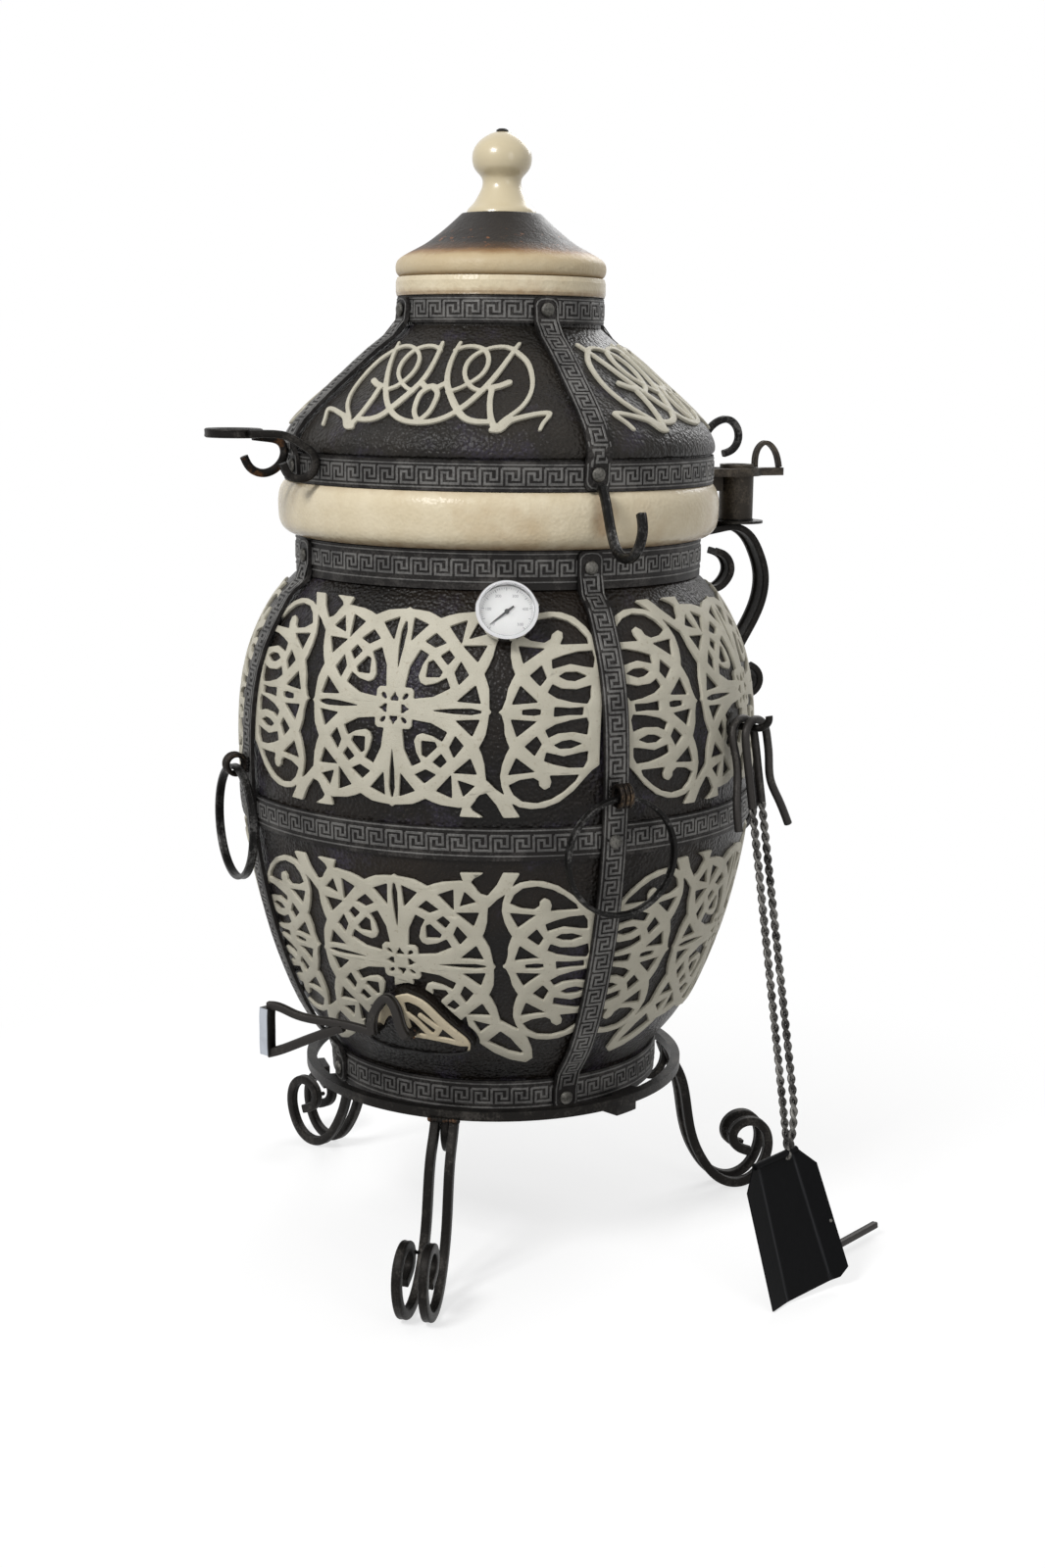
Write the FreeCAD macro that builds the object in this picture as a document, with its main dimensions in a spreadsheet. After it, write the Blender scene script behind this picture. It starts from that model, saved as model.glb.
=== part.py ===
import FreeCAD, Part
import math
import os
from FreeCAD import Vector, Placement, Rotation, Matrix

doc = FreeCAD.newDocument("Tandoor")
sheet = doc.addObject("Spreadsheet::Sheet", "Sizes")

# Driving sizes in millimetres and degrees. The origin is on the floor under the pot's axis, the
# ash vent faces -Y, and every azimuth is measured from -Y towards +X.
SIZES = [
    ("gap", 0.3), ("air", 0.3),
    ("base_r", 180), ("base_z", 178), ("floor_t", 26), ("foot_r", 183.7),
    ("foot_top_z", 223), ("belly_r", 287), ("belly_z", 560), ("wall", 30), ("neck_r", 221), ("neck_z", 757),
    ("rim_z", 797), ("rim_top_z", 856), ("rim_r", 243.5), ("mouth_r", 186),
    ("ledge_z", 262), ("ledge_r", 160),
    ("band_t", 3), ("band_top_low", 757), ("band_top_high", 796.5),
    ("band_mid_low", 490), ("band_mid_high", 524),
    ("band_foot_low", 185), ("band_foot_high", 222),
    ("strap_w", 28), ("strap_t", 3.6), ("strap_az", 45), ("strap_top_z", 796),
    ("strap_foot_z", 186), ("strap_round", 6),
    ("rivet_r", 6.5), ("rivet_h", 4), ("shank_r", 3), ("shank_fit", 0.06),
    ("rivet_top_z", 779), ("rivet_mid_z", 507), ("rivet_foot_z", 200),
    ("dome_seat_r", 233), ("dome_neck_r", 109.3), ("dome_neck_z", 1021),
    ("dome_top_z", 1073), ("dome_band_high", 887), ("neck_band_low", 1021.5),
    ("neck_band_high", 1052), ("dome_strap_low", 858), ("dome_strap_high", 1051),
    ("rivet_dome_low_z", 874), ("rivet_dome_high_z", 1038), ("throat_r", 80),
    ("cap_r", 114.5), ("cap_seat_r", 109.5), ("cap_top_z", 1141), ("spigot_r", 74), ("spigot_h", 16),
    ("knob_ball_r", 31.5), ("knob_ball_z", 1203), ("knob_neck_r", 19.5), ("knob_top_z", 1225),
    ("stud_r", 4), ("stud_fit", 0.06),
    ("hoop_in", 206), ("hoop_out", 217), ("hoop_low", 187), ("hoop_high", 197.5),
    ("seat_t", 6), ("seat_w", 32), ("bar_w", 11), ("leg_turn", 6.5), ("leg_gap", 10.3),
    ("leg_splay", 1.7),
    ("eye_z", 557), ("eye_out", 13), ("eye_in", 8.2), ("eye_w", 16),
    ("ring_out", 63), ("ring_t", 4.8), ("ring_w", 9.5), ("ring_play", 5.6),
    ("post_rho", 305), ("post_r", 14), ("post_fit", 0.06), ("post_top", 864),
    ("sleeve_r", 19.9), ("sleeve_low", 808.2), ("sleeve_high", 871),
    ("flange_r", 32), ("flange_low", 803), ("flange_high", 806), ("arm_w", 27), ("arm_t", 8),
    ("bracket_low", 857.5), ("bracket_h", 9), ("bracket_t", 6),
    ("gauge_az", 22.5), ("gauge_tilt", 27), ("gauge_r", 31.5), ("gauge_rho", 247.5),
    ("gauge_z", 733), ("stem_r", 3), ("needle_rest", 219),
    ("plug_tilt", 22), ("plug_face", 9), ("vent_fit", 2),
    ("tool_az", 80.5), ("tool_rho", 300), ("tool_z", 607), ("pan_w", 132), ("pan_l", 150),
    ("pan_t", 1.5), ("scoop_foot_rho", 410), ("scoop_foot_az", 76), ("lip_az", 67.4),
    ("poker_foot_rho", 392), ("poker_foot_az", 84.8), ("shaft_d", 8.4), ("crook_d", 9),
    ("grate_r", 178), ("grate_t", 8),
]
for row, (name, value) in enumerate(SIZES, 1):
    sheet.set("A%d" % row, name)
    sheet.set("B%d" % row, str(value))
    sheet.setAlias("B%d" % row, name)
doc.recompute()


def S(name):
    return float(sheet.get(name))


def bind(obj, prop, expr):
    obj.setExpression(prop, expr.replace("$", "Sizes."))


nodes = {}


def keep(name, obj):
    obj.Label = name
    nodes[name] = obj
    return obj


def polar(rho, az, z=0.0, t=0.0):
    a = math.radians(az)
    return Vector(rho * math.sin(a) + t * math.cos(a), -rho * math.cos(a) + t * math.sin(a), z)


def radial_frame(az, t=0.0):
    """Local x runs outward, local y up; the plane stands t to the side of the axis."""
    a = math.radians(az)
    x, y = Vector(math.sin(a), -math.cos(a), 0), Vector(0, 0, 1)
    n = x.cross(y)
    o = Vector(math.cos(a), math.sin(a), 0) * t
    return Placement(Matrix(x.x, y.x, n.x, o.x, x.y, y.y, n.y, o.y, x.z, y.z, n.z, o.z, 0, 0, 0, 1))


def face_frame(az, rho=0.0, z=0.0):
    """Local x runs sideways with growing azimuth, local y up, local z points outward."""
    a = math.radians(az)
    x, y = Vector(math.cos(a), math.sin(a), 0), Vector(0, 0, 1)
    n = x.cross(y)
    o = polar(rho, az, z)
    return Placement(Matrix(x.x, y.x, n.x, o.x, x.y, y.y, n.y, o.y, x.z, y.z, n.z, o.z, 0, 0, 0, 1))


def spline(points, closed=False):
    curve = Part.BSplineCurve()
    curve.interpolate([Vector(p[0], p[1], 0) for p in points], PeriodicFlag=closed)
    return curve


def sketch(name, pieces, frame=None):
    """A sketch from straight runs, curves through points, arcs and circles."""
    sk = doc.addObject("Sketcher::SketchObject", name)
    for kind, data in pieces:
        if kind == "line":
            for a, b in zip(data[:-1], data[1:]):
                sk.addGeometry(Part.LineSegment(Vector(a[0], a[1], 0), Vector(b[0], b[1], 0)))
        elif kind == "curve":
            sk.addGeometry(spline(data))
        elif kind == "loop":
            sk.addGeometry(spline(data, True))
        elif kind == "arc":
            sk.addGeometry(Part.Arc(*[Vector(p[0], p[1], 0) for p in data]))
        elif kind == "circle":
            sk.addGeometry(Part.Circle(Vector(data[0], data[1], 0), Vector(0, 0, 1), data[2]))
    if frame:
        sk.Placement = frame
    return sk


def turned(name, pieces, angle=360.0):
    """A profile drawn as (radius, height) turned about the upright axis."""
    sk = sketch(name + "_profile", pieces, radial_frame(90))
    rev = doc.addObject("Part::Revolution", name)
    rev.Source = sk
    rev.Axis = Vector(0, 0, 1)
    rev.Base = Vector(0, 0, 0)
    rev.Angle = angle
    rev.Solid = True
    return rev


def ring(name, r_in, r_out, low, high):
    """A plain ring bound to the sheet: four expressions, one tube."""
    outer = doc.addObject("Part::Cylinder", name + "_outer")
    inner = doc.addObject("Part::Cylinder", name + "_inner")
    for cyl, radius, extra in ((outer, r_out, 0), (inner, r_in, 1)):
        bind(cyl, "Radius", radius)
        bind(cyl, "Height", "(%s) - (%s) + %d" % (high, low, 2 * extra))
        bind(cyl, "Placement.Base.z", "(%s) - %d" % (low, extra))
    return cut(name, outer, inner)


def rod(name, radius, height, frame, back=0.0):
    """A cylinder along the frame's local z, starting back behind its origin."""
    cyl = doc.addObject("Part::Cylinder", name)
    bind(cyl, "Radius", radius)
    bind(cyl, "Height", height)
    cyl.Placement = frame.multiply(Placement(Vector(0, 0, -back), Rotation()))
    return cyl


def cut(name, base, tool):
    obj = doc.addObject("Part::Cut", name)
    obj.Base, obj.Tool = base, tool
    return obj


def common(name, base, tool):
    obj = doc.addObject("Part::Common", name)
    obj.Base, obj.Tool = base, tool
    return obj


def fuse(name, parts):
    obj = doc.addObject("Part::MultiFuse", name)
    obj.Shapes = parts
    return obj


def group(name, parts):
    obj = doc.addObject("Part::Compound", name)
    obj.Links = parts
    return obj


def pushed(name, sk, length, back=0.0):
    """A sketch pushed along its own normal by length and back behind it by back."""
    obj = doc.addObject("Part::Extrusion", name)
    obj.Base = sk
    obj.DirMode = "Normal"
    obj.LengthFwd = length
    obj.LengthRev = back
    obj.Solid = True
    return obj


def section(name, start, way, side, wide, thick, round_bar=False):
    """The bar's own section, square to its path: thick lies in the path's plane, wide across it."""
    x = way.cross(side).normalize()
    y = Vector(side).normalize()
    n = x.cross(y)
    frame = Placement(Matrix(x.x, y.x, n.x, start.x, x.y, y.y, n.y, start.y,
                             x.z, y.z, n.z, start.z, 0, 0, 0, 1))
    if round_bar:
        return sketch(name, [("circle", (0, 0, thick / 2))], frame)
    a, b = thick / 2, wide / 2
    return sketch(name, [("line", [(-a, -b), (a, -b), (a, b), (-a, b), (-a, -b)])], frame)


def swept(name, points, frame, wide, thick, round_bar=False):
    """A forged bar bent along points in the frame's plane."""
    path = sketch(name + "_path", [("curve", points)], frame)
    edge = spline(points).toShape()
    edge.Placement = frame
    start = edge.valueAt(edge.FirstParameter)
    way = edge.tangentAt(edge.FirstParameter)
    side = frame.Rotation.multVec(Vector(0, 0, 1))
    sec = section(name + "_section", start, way, side, wide, thick, round_bar)
    obj = doc.addObject("Part::Sweep", name)
    obj.Sections = [sec]
    obj.Spine = (path, ["Edge1"])
    obj.Solid = True
    obj.Frenet = False
    return obj


def offset_points(points, d):
    """The profile points moved sideways by d, to the right of the way they run."""
    curve = spline(points)
    out = []
    for p in points:
        u = curve.parameter(Vector(p[0], p[1], 0))
        t = curve.tangent(u)[0]
        out.append((p[0] + d * t.y, p[1] - d * t.x))
    return out


# ---------------------------------------------------------------- fireclay pot


def stretched(points, first, last):
    """Profile points as drawn, moved so that the run starts at first and ends at last."""
    (r0, z0), (r1, z1) = points[0], points[-1]
    kr, kz = (last[0] - first[0]) / (r1 - r0), (last[1] - first[1]) / (z1 - z0)
    return [(first[0] + (r - r0) * kr, first[1] + (z - z0) * kz) for r, z in points]


# Outer surface of the belly, from the foot to the neck, as (radius, height).
widest = (S("belly_r"), S("belly_z"))
BELLY = stretched([(183.7, 223), (193, 236), (208, 254), (220, 272), (231.5, 294), (242, 319), (252, 346),
                   (262, 378), (270.5, 412), (277.5, 446), (282.8, 482), (285.8, 520), (287, 560)],
                  (S("foot_r"), S("foot_top_z")), widest)
BELLY += stretched([(287, 560), (286.6, 598), (283, 636), (276.5, 666), (266, 694), (253.5, 718), (237, 741),
                    (221, 757)], widest, (S("neck_r"), S("neck_z")))[1:]
RIM = stretched([(221, 797), (233, 800.5), (240.3, 808), (243, 818), (243.5, 828)],
                (S("neck_r"), S("rim_z")), (S("rim_r"), S("rim_z") + 31))
RIM += [(S("rim_r") - 0.3, S("rim_top_z") - 18), (S("rim_r") - 2.7, S("rim_top_z") - 8),
        (S("rim_r") - 8.5, S("rim_top_z"))]
hollow = (S("belly_r") - S("wall"), S("belly_z"))
INSIDE = stretched([(186, 262), (203, 296), (221, 340), (237, 390), (248, 440), (255, 500), (257, 560)],
                   (S("ledge_r") + 26, S("ledge_z")), hollow)
INSIDE += stretched([(257, 560), (254, 620), (243, 676), (222, 724), (200, 764)], hollow,
                    (S("neck_r") - 21, S("neck_z") + 7))[1:]
INSIDE += [(S("mouth_r") + 4, S("rim_top_z") - 56), (S("mouth_r"), S("rim_top_z") - 16)]

pot = turned("pot_turned", [
    ("line", [(0, S("base_z")), (S("base_r"), S("base_z")), (S("foot_r"), S("base_z") + 5),
              (S("foot_r"), S("foot_top_z"))]),
    ("curve", BELLY),
    ("line", [(S("neck_r"), S("neck_z")), (S("neck_r"), S("rim_z"))]),
    ("curve", RIM),
    ("line", [RIM[-1], (S("mouth_r") + 6, S("rim_top_z")), (S("mouth_r"), S("rim_top_z") - 6), INSIDE[-1]]),
    ("curve", INSIDE[::-1]),
    ("line", [(S("ledge_r") + 26, S("ledge_z")), (S("ledge_r"), S("ledge_z")),
              (S("ledge_r") - 10, S("base_z") + S("floor_t")), (0, S("base_z") + S("floor_t")),
              (0, S("base_z"))]),
])

# The vent is a rounded three-cornered hole with its plug pulled square to the sloping wall.
vent_mid = Vector(0, -238, 302)
tilt = Placement(vent_mid, Rotation(Vector(1, 0, 0), S("plug_tilt")))
vent_frame = tilt.multiply(Placement(Vector(), Rotation(Vector(1, 0, 0), 90)))


def vent_outline(grow):
    """A three-cornered shield with well rounded corners, grown outwards by grow."""
    g = grow
    side = [(16 + 0.6 * g, 36.5 + 0.8 * g), (33 + 0.7 * g, 17 + 0.7 * g), (50 + 0.8 * g, -5 + 0.6 * g),
            (59.5 + g, -21 + 0.2 * g), (57.5 + 0.9 * g, -33 - 0.5 * g), (44 + 0.4 * g, -39.5 - g)]
    return [(0, 43 + g)] + side + [(0, -41 - g)] + [(-a, b) for a, b in side[::-1]]


def vent_prism(name, grow):
    return pushed(name, sketch(name + "_outline", [("loop", vent_outline(grow))], vent_frame), 80, 80)


vent_hole = vent_prism("vent_hole", -5)
tilt_up = math.radians(S("gauge_tilt"))
gauge_way = polar(math.cos(tilt_up), S("gauge_az"), math.sin(tilt_up))
gauge_side = polar(0, S("gauge_az"), 0, 1)
gauge_up = gauge_way.cross(gauge_side)
gauge_at = polar(S("gauge_rho"), S("gauge_az"), S("gauge_z"))
# Local x runs to the dial's right, local y up the dial and local z out through the glass.
gauge_frame = Placement(Matrix(gauge_side.x, gauge_up.x, gauge_way.x, gauge_at.x,
                               gauge_side.y, gauge_up.y, gauge_way.y, gauge_at.y,
                               gauge_side.z, gauge_up.z, gauge_way.z, gauge_at.z, 0, 0, 0, 1))
stem_hole = rod("stem_hole", "$stem_r + 1", "60", gauge_frame, 55)
tool_frame = Placement(polar(S("belly_r"), S("tool_az"), S("tool_z")),
                       Rotation(Vector(0, 0, 1), polar(1, S("tool_az"))))
tool_hole = rod("tool_hole", "$stem_r + 1", "50", tool_frame, 22)
pot_a = cut("pot_vented", pot, vent_hole)
pot_b = cut("pot_bored", pot_a, stem_hole)
keep("pot", cut("pot", pot_b, tool_hole))

slots = []
for k in range(-4, 5):
    slot = doc.addObject("Part::Box", "grate_slot_%d" % (k + 4))
    half = math.sqrt((S("grate_r") - 16) ** 2 - (abs(k) * 34 + 6) ** 2)
    slot.Length, slot.Width, slot.Height = 2 * half, 12, 20
    slot.Placement = Placement(Vector(-half, k * 34 - 6, S("ledge_z") - 5), Rotation())
    slots.append(slot)
plate = doc.addObject("Part::Cylinder", "grate_plate")
bind(plate, "Radius", "$grate_r")
bind(plate, "Height", "$grate_t")
bind(plate, "Placement.Base.z", "$ledge_z + $air")
keep("fire_grate", cut("fire_grate", plate, group("grate_slots", slots)))

# ---------------------------------------------------------------- bands and straps of the pot
strap_azimuths = [S("strap_az") + 90 * k for k in range(4)]


def holes(name, places):
    parts = []
    for k, (az, z, rho) in enumerate(places):
        frame = Placement(polar(rho, az, z), Rotation(Vector(0, 0, 1), polar(1, az)))
        parts.append(rod("%s_%d" % (name, k), "$shank_r + $shank_fit", "60", frame, 40))
    return group(name, parts)


body_rivets = [(az, z, rho) for az in strap_azimuths
               for z, rho in ((S("rivet_top_z"), 221), (S("rivet_mid_z"), 285), (S("rivet_foot_z"), 184))]
body_holes = holes("body_rivet_holes", body_rivets)


def thin(name, points, near, far):
    """A skin that follows the profile points between two offsets."""
    a, b = offset_points(points, near), offset_points(points, far)
    return turned(name, [("curve", a), ("line", [a[-1], b[-1]]), ("curve", b[::-1]), ("line", [b[0], a[0]])])


bt, g = S("band_t"), S("gap")
top_band = ring("band_top_ring", "$neck_r + $gap", "$neck_r + $gap + $band_t", "$band_top_low",
                "$band_top_high")
foot_band = ring("band_foot_ring", "$foot_r + $gap", "$foot_r + $gap + $band_t", "$band_foot_low",
                 "$band_foot_high")
belly_curve = spline(BELLY)


def belly_at(z):
    """Radius of the belly's surface at height z."""
    best = min(((abs(belly_curve.value(u).y - z), belly_curve.value(u).x)
                for u in [belly_curve.FirstParameter + k * (belly_curve.LastParameter
                          - belly_curve.FirstParameter) / 2000.0 for k in range(2001)]))
    return best[1]


def belly_points(low, high, count):
    return [(belly_at(low + (high - low) * k / (count - 1.0)), low + (high - low) * k / (count - 1.0))
            for k in range(count)]


mid_band = thin("band_mid_ring", belly_points(S("band_mid_low"), S("band_mid_high"), 4), g, g + bt)
for name, band in (("band_top", top_band), ("band_middle", mid_band), ("band_foot", foot_band)):
    keep(name, cut(name, band, body_holes))

s_in = g + bt + g
s_out = s_in + S("strap_t")
# Up at the neck and down at the foot the strap's line keeps a hair outside the bands' own radius.
strap_line = [(S("foot_r") + 0.4, S("strap_foot_z") - 18), (S("foot_r") + 0.5, S("strap_foot_z") + 8),
              (S("foot_r") + 1, S("foot_top_z") - 10), (S("foot_r") + 3.6, S("foot_top_z") + 2)]
strap_line += [(r + 0.8, z) for r, z in BELLY[1:-1]]
strap_line += [(S("neck_r") + 4, S("neck_z") - 5), (S("neck_r") + 0.7, S("neck_z") + 11),
               (S("neck_r") + 0.5, S("neck_z") + 26), (S("neck_r") + 0.5, S("strap_top_z") + 4)]
strap_skin = thin("strap_skin", strap_line, s_in, s_out)


def strap_window(name, az, low, high):
    w, r = S("strap_w") / 2, S("strap_round")
    q = r * (1 - math.sqrt(0.5))
    start, reach = S("throat_r") - 20, S("belly_r") + 43
    return pushed(name, sketch(name + "_outline", [
        ("line", [(w, low + r), (w, high - r)]), ("arc", [(w, high - r), (w - q, high - q), (w - r, high)]),
        ("line", [(w - r, high), (-w + r, high)]),
        ("arc", [(-w + r, high), (-w + q, high - q), (-w, high - r)]),
        ("line", [(-w, high - r), (-w, low + r)]), ("arc", [(-w, low + r), (-w + q, low + q), (-w + r, low)]),
        ("line", [(-w + r, low), (w - r, low)]), ("arc", [(w - r, low), (w - q, low + q), (w, low + r)]),
    ], face_frame(az, start)), reach - start)


for k, az in enumerate(strap_azimuths):
    window = strap_window("strap_window_%d" % k, az, S("strap_foot_z"), S("strap_top_z"))
    blank = common("strap_blank_%d" % k, strap_skin, window)
    keep("strap_%d" % (k + 1), cut("strap_%d" % (k + 1), blank, body_holes))


def rivet(name, az, z, face_at, depth):
    """A domed rivet: head just clear of the strap's sloping face, shank through strap and band."""
    frame = Placement(polar(face_at(z), az, z), Rotation(Vector(0, 0, 1), polar(1, az)))
    r, h, s = S("rivet_r"), S("rivet_h"), S("shank_r")
    a = S("air") + max(face_at(z + r * k / 2) for k in range(-2, 3)) - face_at(z)
    big = (r * r + h * h) / (2 * h)
    mid = math.asin(r / big) / 2
    sk = sketch(name + "_profile", [
        ("line", [(0, -depth), (s, -depth), (s, a), (r, a)]),
        ("arc", [(r, a), (big * math.sin(mid), a + h - big + big * math.cos(mid)), (0, a + h)]),
        ("line", [(0, a + h), (0, -depth)])], radial_frame(90))
    rev = doc.addObject("Part::Revolution", name)
    rev.Source = sk
    rev.Axis = Vector(0, 0, 1)
    rev.Base = Vector()
    rev.Angle = 360
    rev.Solid = True
    rev.Placement = frame
    return rev


strap_curve = spline(offset_points(strap_line, s_out))


def strap_at(z):
    steps = 3000
    lo, hi = strap_curve.FirstParameter, strap_curve.LastParameter
    return min(((abs(strap_curve.value(lo + k * (hi - lo) / steps).y - z),
                 strap_curve.value(lo + k * (hi - lo) / steps).x) for k in range(steps + 1)))[1]


keep("body_rivets", group("body_rivets", [
    rivet("body_rivet_%d" % k, az, z, strap_at, strap_at(z) - rho - g - 0.4)
    for k, (az, z, rho) in enumerate(body_rivets)]))

# ---------------------------------------------------------------- stand
keep("stand_hoop", ring("stand_hoop", "$hoop_in", "$hoop_out", "$hoop_low", "$hoop_high"))

arms = []
for k in range(3):
    az = S("leg_turn") + 60 + 120 * k
    low = S("base_z") - S("gap") - S("seat_t")
    flat = doc.addObject("Part::Box", "seat_arm_%d" % k)
    bind(flat, "Length", "$hoop_in - $gap")
    bind(flat, "Width", "$seat_w")
    bind(flat, "Height", "$seat_t")
    flat.Placement = Placement(polar(0, az, low, -S("seat_w") / 2), Rotation(Vector(0, 0, 1), az - 90))
    lug = doc.addObject("Part::Box", "seat_lug_%d" % k)
    lug.Length, lug.Width, lug.Height = 8, S("seat_w"), S("hoop_high") - low
    lug.Placement = Placement(polar(S("hoop_in") - S("gap") - 8, az, low, -S("seat_w") / 2),
                              Rotation(Vector(0, 0, 1), az - 90))
    arms += [flat, lug]
trim = doc.addObject("Part::Cylinder", "seat_trim")
bind(trim, "Radius", "$hoop_in - $gap")
trim.Height = 60
trim.Placement.Base = Vector(0, 0, 150)
keep("stand_seat", common("stand_seat", fuse("seat_arms", arms), trim))

LEG = [(212, 190), (218, 171), (228, 152), (236, 126), (241, 96), (249, 64), (263, 36), (283, 13.5),
       (306, 5.1), (327, 12), (341, 31), (345.5, 54), (339, 73), (324, 82.5), (308, 79.5), (299.5, 67.5),
       (303, 54.5), (313, 47.5), (322, 44)]
CURL = [(211, 190), (212.5, 172), (209, 158), (200, 148.5), (189.5, 149.5), (185, 158), (189, 165)]


def slab(name, low):
    """A broad block for trimming bars: everything under the floor, or all above a height."""
    block = doc.addObject("Part::Box", name)
    half, tall = 2 * S("belly_r"), S("hoop_high") - S("hoop_low") + 10
    block.Length, block.Width, block.Height = 2 * half, 2 * half, tall
    block.Placement.Base = Vector(-half, -half, low if low > 0 else -tall)
    return block


ground = slab("ground", 0)
hoop_face = slab("hoop_face", S("hoop_low") - S("gap"))
curls = []
for k, name in enumerate(("leg_front", "leg_right", "leg_left")):
    az = S("leg_turn") + 120 * k
    pair = []
    for side in (-1, 1):
        turn = Rotation(Vector(0, 0, 1), side * S("leg_splay"))
        frame = radial_frame(az, side * S("leg_gap"))
        pin = frame.multVec(Vector(213, 0, 0))
        spin = Placement(Vector(), turn, pin)
        bar = swept("%s_bar_%d" % (name, side + 1), LEG, spin.multiply(frame), S("bar_w") - 1, S("bar_w"))
        footed = cut("%s_foot_%d" % (name, side + 1), bar, ground)
        pair.append(cut("%s_top_%d" % (name, side + 1), footed, hoop_face))
    keep(name, group(name, pair))
    curls.append(cut("curl_%d" % k, swept("curl_bar_%d" % k, CURL, radial_frame(az), 9.4, 8), hoop_face))
keep("leg_curls", group("leg_curls", curls))

# ---------------------------------------------------------------- carrying rings
ring_bottom = S("eye_z") - S("eye_in")
for k, az in enumerate(strap_azimuths):
    eye_rho = strap_at(S("eye_z")) + S("air") + S("eye_out")
    across = Rotation(Vector(0, 0, 1), polar(0, az, 0, 1))
    at = Placement(polar(eye_rho, az, S("eye_z"), -S("eye_w") / 2), across)
    eye = rod("eye_body_%d" % k, "$eye_out", "$eye_w", at)
    at2 = Placement(polar(eye_rho, az, S("eye_z"), -S("eye_w") / 2 - 1), across)
    bore = rod("eye_bore_%d" % k, "$eye_in", "$eye_w + 2", at2)
    keep("eye_%d" % (k + 1), cut("eye_%d" % (k + 1), eye, bore))
    centre_z = ring_bottom + S("ring_play") + S("ring_t") / 2 - S("ring_out")
    facing = Rotation(Vector(0, 0, 1), polar(1, az))
    ring_at = Placement(polar(eye_rho - S("ring_w") / 2, az, centre_z), facing)
    outer = rod("ring_outer_%d" % k, "$ring_out", "$ring_w", ring_at)
    ring_at2 = Placement(polar(eye_rho - S("ring_w") / 2 - 1, az, centre_z), facing)
    inner = rod("ring_inner_%d" % k, "$ring_out - $ring_t", "$ring_w + 2", ring_at2)
    keep("ring_%d" % (k + 1), cut("ring_%d" % (k + 1), outer, inner))

# ---------------------------------------------------------------- dome cover
DOME = stretched([(233, 888.5), (236.5, 890.5), (237.5, 896), (236, 903), (228, 916.5), (216, 929.5),
                  (199, 945.5), (180, 962), (158, 981.5), (138, 997.5), (123, 1009), (109.3, 1021)],
                 (S("dome_seat_r"), S("dome_band_high") + 1.5), (S("dome_neck_r"), S("dome_neck_z")))
DOME_IN = stretched([(211, 892), (196, 912), (172, 936), (146, 958), (120, 978), (98, 994), (84, 1008)],
                    (S("dome_seat_r") - 22, S("dome_band_high") + 5),
                    (S("throat_r") + 4, S("dome_neck_z") - 13))
DOME_IN += [(S("throat_r"), S("dome_neck_z") + 1)]
seat = S("rim_top_z") + g
dome = turned("dome_turned", [
    ("line", [(S("dome_seat_r"), seat), DOME[0]]),
    ("curve", DOME),
    ("line", [DOME[-1], (S("dome_neck_r"), S("neck_band_high") + 0.5),
              (S("dome_neck_r") + 3.7, S("neck_band_high") + 1), (S("dome_neck_r") + 5, S("dome_top_z") - 16),
              (S("dome_neck_r") + 5, S("dome_top_z") - 5), (S("dome_neck_r") + 3.5, S("dome_top_z")),
              (S("throat_r"), S("dome_top_z")), DOME_IN[-1]]),
    ("curve", DOME_IN[::-1]),
    ("line", [DOME_IN[0], (S("dome_seat_r") - 32, seat), (S("dome_seat_r"), seat)]),
])
keep("dome_cover", dome)

dome_rivet_rows = ((S("rivet_dome_low_z"), S("dome_seat_r")), (S("rivet_dome_high_z"), S("dome_neck_r")))
dome_rivets = [(az, z, rho) for az in strap_azimuths for z, rho in dome_rivet_rows]
dome_holes = holes("dome_rivet_holes", dome_rivets)
low_band = ring("dome_band_ring", "$dome_seat_r + $gap", "$dome_seat_r + $gap + $band_t",
                "$rim_top_z + 2 * $gap", "$dome_band_high")
neck_band = ring("neck_band_ring", "$dome_neck_r + $gap", "$dome_neck_r + $gap + $band_t",
                 "$neck_band_low + 3", "$neck_band_high")
keep("dome_band", cut("dome_band", low_band, dome_holes))
keep("neck_band", cut("neck_band", neck_band, dome_holes))
dome_line = [(S("dome_seat_r"), S("dome_strap_low") - 8), (S("dome_seat_r") + 0.1, S("dome_strap_low") + 10),
             (S("dome_seat_r") + 0.9, S("dome_band_high") - 5), (DOME[2][0], DOME[2][1] - 1)]
dome_line += DOME[3:-1]
dome_line += [(S("dome_neck_r") + 3.6, S("dome_neck_z") + 1), (S("dome_neck_r") + 0.8, S("dome_neck_z") + 14),
              (S("dome_neck_r") + 0.5, S("dome_neck_z") + 24),
              (S("dome_neck_r") + 0.5, S("dome_strap_high") + 5)]
dome_skin = thin("dome_strap_skin", dome_line, s_in, s_out)
dome_curve = spline(offset_points(dome_line, s_out))


def dome_strap_at(z):
    steps = 3000
    lo, hi = dome_curve.FirstParameter, dome_curve.LastParameter
    return min(((abs(dome_curve.value(lo + k * (hi - lo) / steps).y - z),
                 dome_curve.value(lo + k * (hi - lo) / steps).x) for k in range(steps + 1)))[1]


for k, az in enumerate(strap_azimuths):
    window = strap_window("dome_window_%d" % k, az, S("dome_strap_low"), S("dome_strap_high"))
    blank = common("dome_blank_%d" % k, dome_skin, window)
    keep("dome_strap_%d" % (k + 1), cut("dome_strap_%d" % (k + 1), blank, dome_holes))
keep("dome_rivets", group("dome_rivets", [
    rivet("dome_rivet_%d" % k, az, z, dome_strap_at, dome_strap_at(z) - rho - g - 0.4)
    for k, (az, z, rho) in enumerate(dome_rivets)]))

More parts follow.
